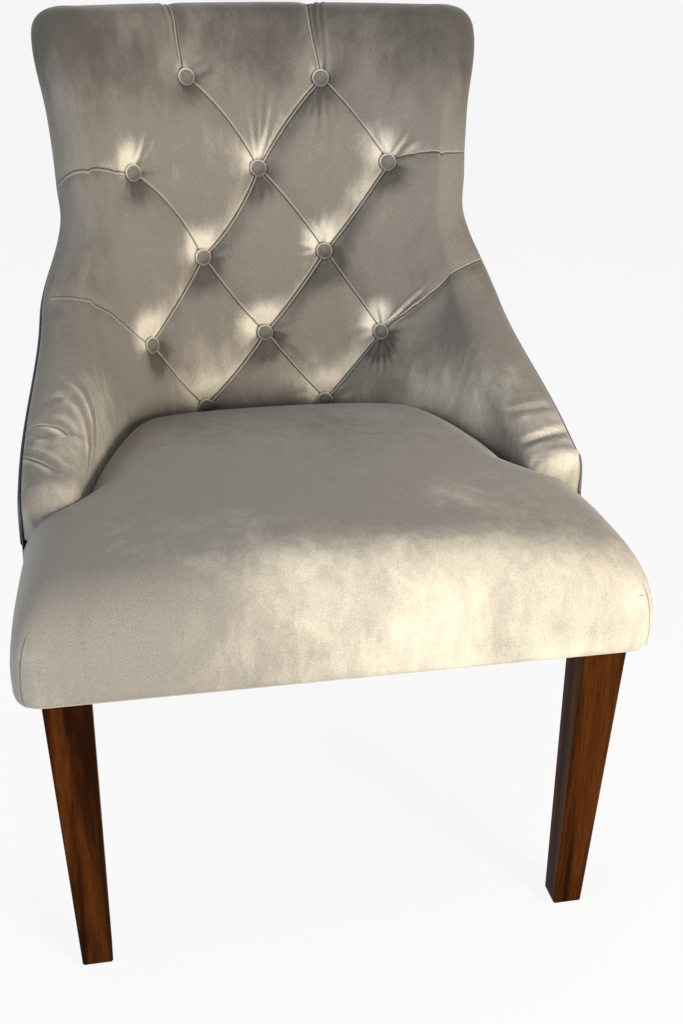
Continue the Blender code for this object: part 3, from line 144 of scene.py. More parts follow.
EVENED_FRONT = (0.285, 0.325)
EVENED_BAND_Z = (0.372, 0.485)
EVENED_BAND_Y = NOTCH_Y - 0.0120

# Places of the buttons on the wall as (run, height), a little uneven as an upholsterer ties them
BUTTONS = {
    "row1_left": (-0.1025, 0.8785),
    "row1_right": (0.0920, 0.8747),
    "row2_left": (-0.2010, 0.7722),
    "row2_middle": (-0.0043, 0.7672),
    "row2_right": (0.1930, 0.7767),
    "row3_left": (-0.0960, 0.6612),
    "row3_right": (0.0925, 0.6635),
    "row4_left": (-0.2010, 0.5622),
    "row4_middle": (-0.0025, 0.5575),
    "row4_right": (0.1893, 0.5637),
    "row5_left": (-0.1025, 0.4625),
    "row5_right": (0.0922, 0.4617),
}
# Strength by row of the painted light above each button and the painted shade below it
PAINTED_HALOS = {"row1": 0.35, "row2": 0.88, "row3": 1.55, "row4": 1.90, "row5": 1.20}
BUTTON_RADIUS = 0.0110
BUTTON_SEAT = 0.0105
BUTTON_LIFT = 0.0012
BUTTON_STEPS = 48
BUTTON_SPAN = 0.0120
BUTTON_PUCKERS = 13
PUCKER = 0.0120
DIP_RADIUS = 0.0095
DIP_WIDTHS = (0.0080, 0.0240)
NECK_DEPTH = 0.0090
NECK_RADII = (0.0100, 0.0040)
PAINTED_HALO_RADIUS = 0.0340
PAINTED_HALO_SLANT = 0.35

# Forms of the folds: depth and width of the hollow, depth of the crease in it, and the share lost on the way
PLEAT_FORM = (0.0085, 0.0170, 0.0038, 0.35)
PULL_FORM = (0.0024, 0.0100, 0.0026, 0.55)
PULL_END = (1.0, 0.90)
CREASE_WIDTH = 0.0036
FOLD_REACH = 0.0500
FOLD_FADE = (0.0500, 0.0300)
FOLD_MARK = 0.0080

# Forms of the small creases: depth, width, and the share, distance and width of the banks beside them
FAINT = 1.3
FAINT_FORM = (0.0024, 0.0026, 0.60, 0.0046, 0.0024)
FAINT_TOP_Z = 0.8500
FAINT_ENDS = (0.98, 0.80)
FAINT_FADE = 0.35
WRINKLE_DEPTH = 0.0023
WRINKLE_START = (0.0080, 0.0120)
WRINKLE_BOW = 0.0015
WRINKLE_WIDTHS = (0.0022, 0.0052)
WRINKLE_BANK = 0.80
SMALL_REACH = 0.0120
ARM_CREASE_FORM = (0.0013, 0.0036, 5 / 13, 0.0085, 0.0045)
ARM_CREASE_BOW = 0.0060
ARM_CREASE_REACH = 0.0200
SHARP_CREASE = 3
SHARP_HEIGHT = 0.9

# The knob at the tip of each arm, as (run, half its run, height above the floor, half its height)
KNOB = (0.618, 0.028, 0.520, 0.030)
KNOB_HEIGHT = 0.0095

# Padding of the back: the run over its rolled edge, and the layers of cloth behind it
ROLL_RUN = 0.0850
ROLL_END = 175
ROLL_STEPS = 18
ROLL_SOFT_ROWS = 9
BEND_Q = ((0.200, 0.245), (0.530, 0.460))
BEND_SHARE = (0.985, 0.930)
DEPTH_END = (0.98, 0.72)
FINE_GRID = ((0.0029, 0.0046), 178, 20)
TAIL_LAYERS = (0.0018, 0.0030)
HIDDEN_SHARES = (0.8, 0.6, 0.4, 0.2, 0.0)

# The outside panel
PANEL_SPACING = (0.0100, 0.0090)
PANEL_INSET_Q = 0.0003
PANEL_COLUMNS = (17.0, 19.0)
PANEL_BAND_COLUMNS = (17.5, 19.0)
PANEL_BAND = 0.0150
PANEL_SWELL = 0.0018
PANEL_PROUD = 0.0010
PANEL_HEM = 0.0100
PANEL_TURN = 0.0040
PANEL_TURN_INSET = 0.0002

# Pleats between buttons as (from, to, bow, folds): a bow is how far the middle leaves the straight line
PLEATS = [
    ("row1_left", "row2_middle", 0.007, 1.4),
    ("row1_right", "row2_middle", -0.004, 2.4),
    ("row1_right", "row2_right", 0.003, 1.2),
    ("row2_left", "row3_left", 0.010, 1.2),
    ("row2_middle", "row3_left", 0.008, 2.0),
    ("row2_middle", "row3_right", 0.003, 1.6),
    ("row2_right", "row3_right", 0.002, 2.6),
    ("row3_left", "row4_left", 0.006, 1.6),
    ("row3_left", "row4_middle", -0.003, 1.4),
    ("row3_right", "row4_middle", 0.002, 2.6),
    ("row3_right", "row4_right", -0.003, 1.4),
    ("row4_left", "row5_left", -0.004, 1.2),
    ("row4_middle", "row5_left", 0.005, 2.0),
    ("row4_middle", "row5_right", -0.003, 1.4),
    ("row4_right", "row5_right", 0.001, 2.6),
]

# Pulled folds from the outer buttons over the edge or down to the seat, each by its points on the wall
PULLS = [
    ("row1_left", 1.5, [(-0.1079, 0.895), (-0.1109, 0.9189), (-0.1109, 0.942), (-0.1079, 0.99),
        (-0.107, 1.03)]),
    ("row1_left", FAINT, [(-0.1145, 0.9), (-0.117, 0.925), (-0.1165, 0.95), (-0.1145, 0.99),
        (-0.114, 1.03)]),
    ("row1_right", 1.5, [(0.0905, 0.89), (0.084, 0.9112), (0.078, 0.9394), (0.075, 0.97), (0.073, 1.03)]),
    ("row1_right", FAINT, [(0.0935, 0.89), (0.089, 0.9112), (0.0845, 0.9394), (0.082, 0.97),
        (0.081, 1.03)]),
    ("row1_right", FAINT, [(0.0975, 0.89), (0.095, 0.9112), (0.0915, 0.9394), (0.09, 0.97), (0.089, 1.03)]),
    ("row2_left", 1.5, [(-0.2248, 0.7754), (-0.2595, 0.7835), (-0.2925, 0.7821), (-0.3108, 0.7775),
        (-0.335, 0.76)]),
    ("row2_right", 1.5, [(0.2099, 0.7831), (0.2376, 0.7886), (0.2691, 0.7916), (0.2972, 0.7901),
        (0.335, 0.785)]),
    ("row4_left", 1.4, [(-0.2291, 0.577), (-0.2447, 0.5932), (-0.2752, 0.6174), (-0.3319, 0.6338),
        (-0.37, 0.673)]),
    ("row4_right", 1.8, [(0.2069, 0.5755), (0.232, 0.591), (0.2518, 0.6073), (0.2839, 0.6261),
        (0.325, 0.652), (0.355, 0.69)]),
    ("row4_right", FAINT, [(0.2129, 0.5832), (0.239, 0.6066), (0.2595, 0.6242), (0.2779, 0.6386),
        (0.315, 0.668)]),
    ("row5_left", 1.0, [(-0.105, 0.44), (-0.105, 0.42)]),
    ("row5_right", 1.0, [(0.094, 0.44), (0.095, 0.42)]),
]

# Small wrinkles that fan out of each button as (heading in degrees, length, depth)
WRINKLES = {
    "row2_middle": [(97, 0.075, 1.0), (84, 0.085, 1.0), (72, 0.080, 1.2), (270, 0.028, 0.8),
                    (292, 0.040, 0.8), (150, 0.022, 0.5)],
    "row2_left": [(62, 0.045, 1.0), (48, 0.030, 0.6), (3, 0.030, 0.6), (330, 0.035, 0.7),
                  (250, 0.022, 0.4)],
    "row1_right": [(278, 0.070, 0.8), (262, 0.065, 0.7), (250, 0.045, 0.6), (292, 0.050, 0.6)],
    "row1_left": [(12, 0.028, 0.6), (345, 0.028, 0.4)],
    "row2_right": [(128, 0.045, 0.8), (40, 0.045, 0.7), (24, 0.050, 0.7), (345, 0.035, 0.5)],
    "row3_left": [(4, 0.030, 0.5), (28, 0.028, 0.6), (268, 0.024, 0.5)],
    "row3_right": [(172, 0.042, 0.8), (188, 0.034, 0.7), (96, 0.026, 0.8), (112, 0.030, 0.8),
                   (265, 0.028, 0.7), (282, 0.024, 0.6), (335, 0.028, 0.5)],
    "row4_middle": [(4, 0.042, 0.9), (348, 0.050, 1.0), (326, 0.060, 1.0), (255, 0.030, 0.7),
                    (272, 0.026, 0.6)],
    "row4_right": [(14, 0.060, 1.0), (2, 0.055, 0.9), (346, 0.045, 0.9), (328, 0.045, 1.0),
                   (306, 0.040, 0.9), (288, 0.046, 1.0), (270, 0.046, 0.9), (256, 0.042, 0.9),
                   (115, 0.030, 0.8), (176, 0.034, 0.6)],
    "row4_left": [(60, 0.030, 0.5), (280, 0.030, 0.6), (300, 0.040, 0.7)],
    "row5_right": [(176, 0.045, 1.2), (186, 0.040, 1.0), (30, 0.035, 0.8), (10, 0.045, 0.8)],
    "row5_left": [(8, 0.045, 1.1), (352, 0.050, 1.0), (200, 0.030, 0.6)],
}

# Creases over the arms as (from, to) on the wall, and how deep each one is
ARM_CREASES = [
    ((-0.455, 0.600), (-0.500, 0.500), 1.6),
    ((-0.475, 0.590), (-0.540, 0.490), 1.2),
    ((-0.574, 0.592), (-0.580, 0.528), 4.0),
    ((-0.560, 0.590), (-0.520, 0.530), 2.0),
    ((-0.532, 0.592), (-0.529, 0.545), 3.4),
    ((-0.550, 0.590), (-0.545, 0.556), 2.2),
    ((-0.500, 0.595), (-0.470, 0.555), 1.6),
    ((0.420, 0.560), (0.470, 0.500), 1.0),
    ((0.580, 0.575), (0.560, 0.500), 2.6),
    ((0.545, 0.585), (0.520, 0.530), 1.4),
    ((0.600, 0.530), (0.585, 0.480), 1.0),
]

# Painted light and shade over broad patches, such as the darker top of the back and the lit front of the seat:
# an amount, and the spans over which it comes in, by way and from, to
BACK_PAINTED_LIGHT = [
    (-0.50, ("height", 0.78, 0.93)),
    (-0.12, ("out", 0.16, 0.26), ("height", 0.60, 0.70)),
    (0.30, ("left", 0.25, 0.50), ("height", 0.66, 0.52)),
    (0.52, ("right", 0.50, 0.60)),
    (0.55, ("right", 0.18, 0.30), ("height", 0.62, 0.50), ("right", 0.55, 0.45)),
    (-0.10, ("left", 0.20, 0.27), ("height", 0.56, 0.66), ("height", 0.88, 0.76)),
    (0.26, ("out", 0.25, 0.10), ("height", 0.64, 0.50)),
]
SEAT_PAINTED_LIGHT = [
    (0.42, ("right", -0.27, 0.02), ("front", 0.26, 0.35)),
    (-0.50, ("rear", -0.25, 0.12)),
    (0.34, ("right", -0.05, 0.25), ("front", 0.04, 0.24)),
]
# Strengths and limit of the painted light and shade laid on by the slope of the tufted cover
SLOPE_SHADE_SIDEWAYS = 0.60
SLOPE_SHADE_UPWARDS = -0.75
SLOPE_SHADE_LIMIT = 0.45


# Plan and thickness of the wall

def low_plan():
    turn = np.linspace(0, math.pi / 2, 801)
    across = np.sin(turn) ** (2 / SHELL_POWER) * SHELL_HALF_WIDTH
    drop = (1 - np.cos(turn) ** (2 / SHELL_POWER)) * (SHELL_REAR_Y - SHELL_START_Y)
    run = np.concatenate([[0], np.cumsum(np.hypot(np.diff(across), np.diff(drop)))])
    return run, across, drop


def high_plan(quarter, curled):
    run = np.linspace(0, quarter, 801)
    turn = np.minimum(run, ARC_RUN if curled else quarter) / ARC_RADIUS
    if curled:
        rest = np.clip((run - ARC_RUN) / (ARC_END_RUN - ARC_RUN), 0, 1)
        turn += (math.pi / 2 - ARC_RUN / ARC_RADIUS) * rest
    middle = (turn[1:] + turn[:-1]) / 2
    across = np.concatenate([[0], np.cumsum(np.cos(middle) * run[1])])
    drop = np.concatenate([[0], np.cumsum(np.sin(middle) * run[1])])
    return run, across, drop


LOW = low_plan()
QUARTER = float(LOW[0][-1])
HIGH = high_plan(QUARTER, True)
OPEN = high_plan(QUARTER, False)


def eased(value, start, end):
    share = np.clip((value - start) / (end - start), 0, 1)
    return share * share * (3 - 2 * share)


def shell_xy(q, z, opened=0.0):
    """The outer face of the wall at a signed run q from the middle of the back."""
    side = np.where(q < 0, -1.0, 1.0)
    out = np.abs(q)
    run = np.minimum(out, QUARTER)
    blend = eased(z, PLAN_LOW_Z, PLAN_HIGH_Z)
    flare = 1 + 2 * ARC_FLARE / ARC_RADIUS * eased(z, WAIST_Z, 2 * TOP_Z - WAIST_Z)
    low_x, low_drop = np.interp(run, LOW[0], LOW[1]), np.interp(run, LOW[0], LOW[2])
    high_x, high_drop = np.interp(run, HIGH[0], HIGH[1]), np.interp(run, HIGH[0], HIGH[2])
    high_x = high_x + (np.interp(run, OPEN[0], OPEN[1]) - high_x) * opened
    high_drop = high_drop + (np.interp(run, OPEN[0], OPEN[2]) - high_drop) * opened
    x = (1 - blend) * low_x + blend * flare * high_x
    drop = (1 - blend) * low_drop + blend * flare * high_drop
    lean = np.maximum(0, (z - RAKE_START_Z) / (TOP_Z - RAKE_START_Z))
    return side * x, SHELL_REAR_Y + RAKE * lean ** 2 - drop - np.maximum(out - QUARTER, 0)


def along_wall(q, z):
    x0, y0 = shell_xy(q - TURN_SPAN, z)
    x1, y1 = shell_xy(q + TURN_SPAN, z)
    length = np.hypot(x1 - x0, y1 - y0)
    return (x1 - x0) / length, (y1 - y0) / length


def wall_point(q, z, inset):
    """A point of the wall, counted in from its outer face."""
    x, y = shell_xy(q, z)
    ax, ay = along_wall(q, z)
    return np.stack([x + ay * inset, y - ax * inset, z + 0 * x], axis=-1)


def wall(q):
    return WALL_BACK + (WALL_SIDE - WALL_BACK) * eased(np.abs(q), *WALL_THINS_Q)


def fill(q, z):
    out = np.abs(q)
    share = np.clip((out - FILL_NEAR_Q) / (FILL_FAR_Q - FILL_NEAR_Q), 0, 1)
    puff = PUFF * eased(out, *PUFF_START_Q) * eased(out, *PUFF_END_Q) * eased(z, PUFF_TOP_Z, RAKE_START_Z)
    return WALL_FILL * np.sin(math.pi * share) ** 2 * eased(z, WALL_FILL_Z, PLAN_LOW_Z) + puff


def inner_face(q, z):
    """The padded inside of the wall, with its corners filled out softly."""
    total, weights = 0, 0
    opened = eased(z, *OPEN_Z)
    for shift in np.linspace(-SOFTEN_REACH, SOFTEN_REACH, 13):
        weight = math.exp(-(shift / SOFTEN_WIDTH) ** 2 / 2)
        near = q + shift
        x0, y0 = shell_xy(near - SLOPE_STEP, z, opened)
        x1, y1 = shell_xy(near + SLOPE_STEP, z, opened)
        inset = (wall(near) + fill(near, z)) / np.hypot(x1 - x0, y1 - y0)
        x = (x0 + x1) / 2 + (y1 - y0) * inset
        y = (y0 + y1) / 2 - (x1 - x0) * inset
        total = total + weight * np.stack([x, y, z + 0 * x], axis=-1)
        weights += weight
    return total / weights


def run_at_y(y, z):
    end = float(shell_xy(np.array(QUARTER), np.array(z))[1])
    if y <= end:
        return QUARTER + end - y
    runs = np.linspace(0, QUARTER, 481)
    return float(np.interp(-y, -shell_xy(runs, np.full(481, z))[1], runs))


# Outline of back, wings and arms

def outline_knots():
    """(column, run, height) along the outermost line of the edge, from the middle of the top to the foot."""
    wing = ARC_RADIUS * math.asin(WING_HALF_WIDTH / ARC_RADIUS)
    knots = [(column, column * TOP_PITCH, TOP_Z) for column in range(8)]
    corner_q, corner_z = wing - CORNER_RADIUS, TOP_Z - CORNER_RADIUS
    first, last = CORNER_COLUMNS
    for share in np.arange(1, 8) / 8:
        turn = math.pi / 2 * (1 - share)
        place = (corner_q + CORNER_RADIUS * math.cos(turn), corner_z + CORNER_RADIUS * math.sin(turn))
        knots.append((first + (last - first) * share, *place))
    knots.append((WING_COLUMN, wing, (corner_z + WAIST_Z) / 2))
    knots += [(column, wing, WAIST_Z + rise) for column, rise in WAIST_RISES]
    waist_y = float(shell_xy(np.array(wing), np.array(WAIST_Z))[1])
    bends = np.array([(waist_y, WAIST_Z), *ARM_SWEEP])
    for t in np.arange(1, 11) / 10:
        weights = np.array([(1 - t) ** 3, 3 * t * (1 - t) ** 2, 3 * t * t * (1 - t), t ** 3])
        y, z = weights @ bends
        knots.append((WAIST_COLUMN + SWEEP_COLUMNS * t, run_at_y(y, z), z))
    tip = ((TIP_COLUMN, ARM_TIP_Y, ARM_TIP_Z), (NOSE_COLUMN, ARM_FRONT_Y, ARM_NOSE_Z),
           (LAST_COLUMN, ARM_FRONT_Y, ARM_FOOT_Z))
    knots += [(column, run_at_y(y, z), z) for column, y, z in tip]
    return np.array(knots)


def curve_through(knots, places):
    """A smooth curve through the knots, read at places between them."""
    column, points = knots[:, 0], knots[:, 1:]
    chord = np.concatenate([[0], np.cumsum(np.linalg.norm(np.diff(points, axis=0), axis=1))])
    steps = np.diff(chord)
    slopes = np.diff(points, axis=0) / steps[:, None]
    tangents = np.empty_like(points)
    inner = slopes[:-1] * steps[1:, None] + slopes[1:] * steps[:-1, None]
    tangents[1:-1] = inner / (steps[:-1] + steps[1:])[:, None]
    tangents[0], tangents[-1] = slopes[0], slopes[-1]
    at = np.interp(places, column, chord)
    low = np.clip(np.searchsorted(chord, at, side="right") - 1, 0, len(steps) - 1)
    t = ((at - chord[low]) / steps[low])[:, None]
    a, b = points[low], points[low + 1]
    ta, tb = tangents[low] * steps[low, None], tangents[low + 1] * steps[low, None]
    return (2 * t ** 3 - 3 * t ** 2 + 1) * a + (t ** 3 - 2 * t ** 2 + t) * ta \
        + (3 * t ** 2 - 2 * t ** 3) * b + (t ** 3 - t ** 2) * tb


def edge_tables(places):
    """Outline, its normals, the edge of the padding and the foot of the wall at column places of one half."""
    knots = outline_knots()
    points = curve_through(knots, places)
    ahead = curve_through(knots, np.minimum(places + 0.02, LAST_COLUMN))
    behind = curve_through(knots, np.maximum(places - 0.02, 0))
    along = ahead - behind
    along /= np.linalg.norm(along, axis=1)[:, None]
    normals = np.stack([-along[:, 1], along[:, 0]], axis=1)
    bulge = EDGE_BULGE + (FRONT_BULGE - EDGE_BULGE) * eased(places, *FRONT_COLUMNS)
    edge = points - normals * bulge[:, None]
    last_q = edge[-1, 0] - EDGE_BULGE / 2
    foot = np.interp(places, *WING_FEET)
    past = (places - WAIST_COLUMN) / (LAST_COLUMN - WAIST_COLUMN)
    foot = np.where(past <= 0, foot, foot + (last_q - foot) * past)
    return points, normals, edge, foot, bulge


def fanned(places, shares):
    """How far each column has moved from its foot to the edge: late along the sides of the wings."""
    late = 2 - eased(places, *FAN_COLUMNS)
    return shares[None, :] ** late[:, None]


def even_places(spacing_fine, spacing_far):
    """Column places of one half, a set distance apart along the edge."""
    dense = np.linspace(0, LAST_COLUMN, 1901)
    points = curve_through(outline_knots(), dense)
    lengths = np.linalg.norm(np.diff(points, axis=0), axis=1)
    spacing = np.where(dense[1:] <= CORNER_COLUMNS[0], spacing_fine, spacing_far)
    share = np.concatenate([[0], np.cumsum(lengths / spacing)])
    return np.interp(np.linspace(0, share[-1], int(round(share[-1])) + 1), share, dense)


def both_halves(half, flip=True):
    """Mirrors columns of points to the left half."""
    left = half[:0:-1].copy()
    if flip:
        left[..., 0] *= -1
    return np.concatenate([left, half])


# Grids and objects

def grid_faces(columns, rows, closed):
    """Quads of a grid whose point (column, row) has the number column * rows + row."""
    last = rows if closed else rows - 1
    across, up = np.meshgrid(np.arange(columns - 1), np.arange(last), indexing="ij")
    here, above = across * rows, (up + 1) % rows
    corners = (here + up, here + rows + up, here + rows + above, here + above)
    return np.stack(corners, axis=-1).reshape(-1, 4).tolist()


def ringed_piece(name, ring, finish):
    """One closed piece from a grid of columns, each a closed ring of rows."""
    columns, rows = ring.shape[:2]
    ring[..., 1] += CENTRE_SHIFT_Y
    faces = grid_faces(columns, rows, True)
    faces += [list(range(rows)), list(range((columns - 1) * rows, columns * rows))]
    return add_piece(name, ring.reshape(-1, 3), faces, finish)


def add_piece(name, points, faces, finish):
    """One closed piece of the chair, with its faces turned outwards."""
    mesh = bpy.data.meshes.new(name)
    mesh.from_pydata(points.tolist(), [], faces)
    bm = bmesh.new()
    bm.from_mesh(mesh)
    bmesh.ops.recalc_face_normals(bm, faces=bm.faces)
    if bm.calc_volume(signed=True) < 0:
        bmesh.ops.reverse_faces(bm, faces=bm.faces)
    bm.to_mesh(mesh)
    bm.free()
    mesh.shade_smooth()
    mesh.materials.append(finish)
    piece = bpy.data.objects.new(name, mesh)
    bpy.context.scene.collection.objects.link(piece)
    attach(piece, "root")
    return piece


def store(piece, name, values):
    """Keeps one number for each point of a piece, for its material."""
    piece.data.attributes.new(name, "FLOAT", "POINT").data.foreach_set("value", values.ravel())


def evened(points, passes, mask):
    """Evens out a grid of points where the mask is 1, without moving its rim."""
    for _ in range(passes):
        mean = points.copy()
        beside = points[:-2, 1:-1] + points[2:, 1:-1]
        mean[1:-1, 1:-1] = (beside + points[1:-1, :-2] + points[1:-1, 2:]) / 4
        points = points + (mean - points) * mask[..., None]
    return points


def surface_normals(points):
    across, up = np.gradient(points, axis=0), np.gradient(points, axis=1)
    normals = np.cross(across, up)
    return normals / np.maximum(np.linalg.norm(normals, axis=-1, keepdims=True), 1e-12)


def painted_patches(patches, ways):
    """How much painted light or shade lies over broad patches, each of them bounded along some of the ways."""
    total = 0
    for amount, *spans in patches:
        for way, start, end in spans:
            amount = amount * eased(ways[way], start, end)
        total = total + amount
    return total


def nearest_on(q, z, line, reach):
    """Signed distance to a line of (run, height) and how far along it, for the points within reach."""
    low, high = line.min(axis=0) - reach, line.max(axis=0) + reach
    near = (q > low[0]) & (q < high[0]) & (z > low[1]) & (z < high[1])
    here = np.stack([q[near], z[near]], axis=-1)
    best = np.full(len(here), 9.0)
    signed, share = best.copy(), np.zeros(len(here))
    count = len(line) - 1
    for index in range(count):
        start, along = line[index], line[index + 1] - line[index]
        t = np.clip((here - start) @ along / (along @ along), 0, 1)
        away = here - start - t[:, None] * along
        distance = np.hypot(away[:, 0], away[:, 1])
        closer = distance < best
        best[closer] = distance[closer]
        turned = along[0] * away[:, 1] - along[1] * away[:, 0]
        signed[closer] = (distance * np.where(turned < 0, -1, 1))[closer]
        share[closer] = ((index + t) / count)[closer]
    return near, signed, share


def bowed_line(start, end, bow, count=20):
    start, end = np.array(start), np.array(end)
    along = end - start
    across = np.array([-along[1], along[0]]) / np.hypot(*along)
    if across[0] < 0:
        across = -across
    t = np.linspace(0, 1, count)[:, None]
    return start + along * t + across * bow * 4 * t * (1 - t)


def rounded_line(points):
    """A line through the points with its corners cut."""
    line = np.array(points)
    for _ in range(3):
        before, after = line[:-1], line[1:]
        cut = np.stack([before * 0.75 + after * 0.25, before * 0.25 + after * 0.75], axis=1)
        line = np.concatenate([line[:1], cut.reshape(-1, 2), line[-1:]])
    return line


# Tufting

def mark_fold(marks, near, signed, height):
    """Keeps the nearest fold of each point: how far to its left or right the point lies, and its height."""
    away = np.abs(signed)
    closer = away < marks["away"][near]
    left, right = np.clip(signed / FOLD_MARK, 0, 1), np.clip(-signed / FOLD_MARK, 0, 1)
    for name, found in (("fold_left", left), ("fold_right", right), ("fold_height", height), ("away", away)):
        kept = marks[name][near]
        kept[closer] = found[closer]
        marks[name][near] = kept


def fold_depths(q, z, pulls, marks):
    """The pleats between buttons, and the folds that are pulled from the outer buttons over the edge."""
    fold = np.zeros_like(q)
    lines = [(line, folds, True) for line, folds in pulls if folds != FAINT]
    for start, end, bow, folds in PLEATS:
        lines.append((bowed_line(BUTTONS[start], BUTTONS[end], bow), folds, False))
    for line, folds, pulled in lines:
        near, signed, share = nearest_on(q, z, line, FOLD_REACH)
        away = np.abs(signed)
        hollow, width, crease, lost = PULL_FORM if pulled else PLEAT_FORM
        strength = 1 - lost * (share if pulled else np.sin(math.pi * share))
        strength = strength * eased(away, *FOLD_FADE)
        depth = hollow * strength * np.exp(-(away / width) ** 2)
        depth += crease * np.sqrt(strength) * np.exp(-away / CREASE_WIDTH)
        if pulled:
            depth *= eased(share, *PULL_END)
        fold[near] = np.maximum(fold[near], depth)
        mark_fold(marks, near, signed, folds * strength)
    return fold


def crease_across(signed, depth, width, bank, bank_away, bank_width):
    """The form of a small crease across its line: a trough with a raised bank on either side."""
    away = np.abs(signed)
    return depth * (np.exp(-(away / width) ** 2) - bank * np.exp(-((away - bank_away) / bank_width) ** 2))


def small_creases(q, z, pulls, marks):
    """The faint folds beside the pulled ones, the wrinkles round the buttons and the creases of the arms."""
    small = np.zeros_like(q)
    for line in [line for line, folds in pulls if folds == FAINT]:
        near, signed, share = nearest_on(q, z, line, SMALL_REACH)
        end = FAINT_ENDS[0] if line[0][1] > FAINT_TOP_Z else FAINT_ENDS[1]
        ends = np.minimum(1, share * 9) * eased(share, end, end - FAINT_FADE)
        small[near] += ends * crease_across(signed, *FAINT_FORM)
    for button, heading, length, depth in [(key, *wrinkle) for key in WRINKLES for wrinkle in WRINKLES[key]]:
        start = np.array(BUTTONS[button])
        turn = math.radians(heading)
        way = np.array([math.cos(turn), math.sin(turn)])
        first, past = WRINKLE_START
        line = bowed_line(start + way * first, start + way * (past + length), WRINKLE_BOW, 6)
        near, signed, share = nearest_on(q, z, line, SMALL_REACH)
        width = WRINKLE_WIDTHS[0] + (WRINKLE_WIDTHS[1] - WRINKLE_WIDTHS[0]) * share
        form = crease_across(signed, WRINKLE_DEPTH * depth, width, WRINKLE_BANK, 2 * width, width)
        small[near] += (1 - share) ** 0.8 * form
    for start, end, depth in ARM_CREASES:
        line = bowed_line(start, end, ARM_CREASE_BOW, 10)
        near, signed, share = nearest_on(q, z, line, ARM_CREASE_REACH)
        bend = np.sin(math.pi * share) ** 0.6
        small[near] += depth * bend * crease_across(signed, *ARM_CREASE_FORM)
        if depth > SHARP_CREASE:
            mark_fold(marks, near, signed, SHARP_HEIGHT * bend)
    return small


def button_dips(q, z):
    """The hollows that the buttons sit in, and painted light above each of them with painted shade below."""
    sunk, painted_halo = np.zeros_like(q), np.zeros_like(q)
    for button, (button_q, button_z) in BUTTONS.items():
        away = np.hypot(q - button_q, z - button_z)
        past = np.maximum(0, away - DIP_RADIUS)
        dip = BUTTON_SEAT * (np.exp(-past / DIP_WIDTHS[0]) + np.exp(-(past / DIP_WIDTHS[1]) ** 2)) / 2
        sunk = np.maximum(sunk, dip + NECK_DEPTH * eased(away, *NECK_RADII))
        # painted light above the button and painted shade below it, slanted to one side
        heading = (z - button_z - (q - button_q) * PAINTED_HALO_SLANT) / np.maximum(away, 1e-6)
        painted_halo += PAINTED_HALOS[button[:4]] * heading * np.exp(-(away / PAINTED_HALO_RADIUS) ** 2)
    return sunk, painted_halo


def painted_slope_shade(q, z, depth):
    """Painted light and shade where the cover slopes to the side or upwards, within a limit."""
    (q_over, q_up), (z_over, z_up), (over, up) = np.gradient(q), np.gradient(z), np.gradient(depth)
    area = q_over * z_up - z_over * q_up
    area = np.where(np.abs(area) < 1e-8, 1e-8, area)
    aside, upwards = (over * z_up - up * z_over) / area, (q_over * up - q_up * over) / area
    return np.clip(SLOPE_SHADE_SIDEWAYS * aside + SLOPE_SHADE_UPWARDS * upwards, -SLOPE_SHADE_LIMIT, SLOPE_SHADE_LIMIT)


def tufting(q, z):
    """How deep buttons, pleats and wrinkles draw the cover in, where its folds lie, and the painted light and
    shade laid over it.
    """
    marks = {"fold_left": np.ones_like(q), "fold_right": np.zeros_like(q), "fold_height": np.zeros_like(q)}
    marks["away"] = np.full_like(q, 9.0)
    pulls = [(rounded_line([BUTTONS[start]] + points), folds) for start, folds, points in PULLS]
    fold = fold_depths(q, z, pulls, marks)
    small = small_creases(q, z, pulls, marks)
    sunk, painted_halo = button_dips(q, z)
    knob_q, knob_run, knob_z, knob_rise = KNOB
    knob = np.exp(-((np.abs(q) - knob_q) / knob_run) ** 2 - ((z - knob_z) / knob_rise) ** 2)
    depth = (sunk ** 3 + fold ** 3) ** (1 / 3) + small - KNOB_HEIGHT * knob
    ways = {"height": z, "left": -q, "right": q, "out": np.abs(q)}
    # The painted light and shade of the back: light and shade round the buttons, shading by slope and broad
    # patches
    marks["painted_light"] = painted_halo + painted_slope_shade(q, z, depth) + painted_patches(BACK_PAINTED_LIGHT, ways)
    del marks["away"]
    return depth, marks


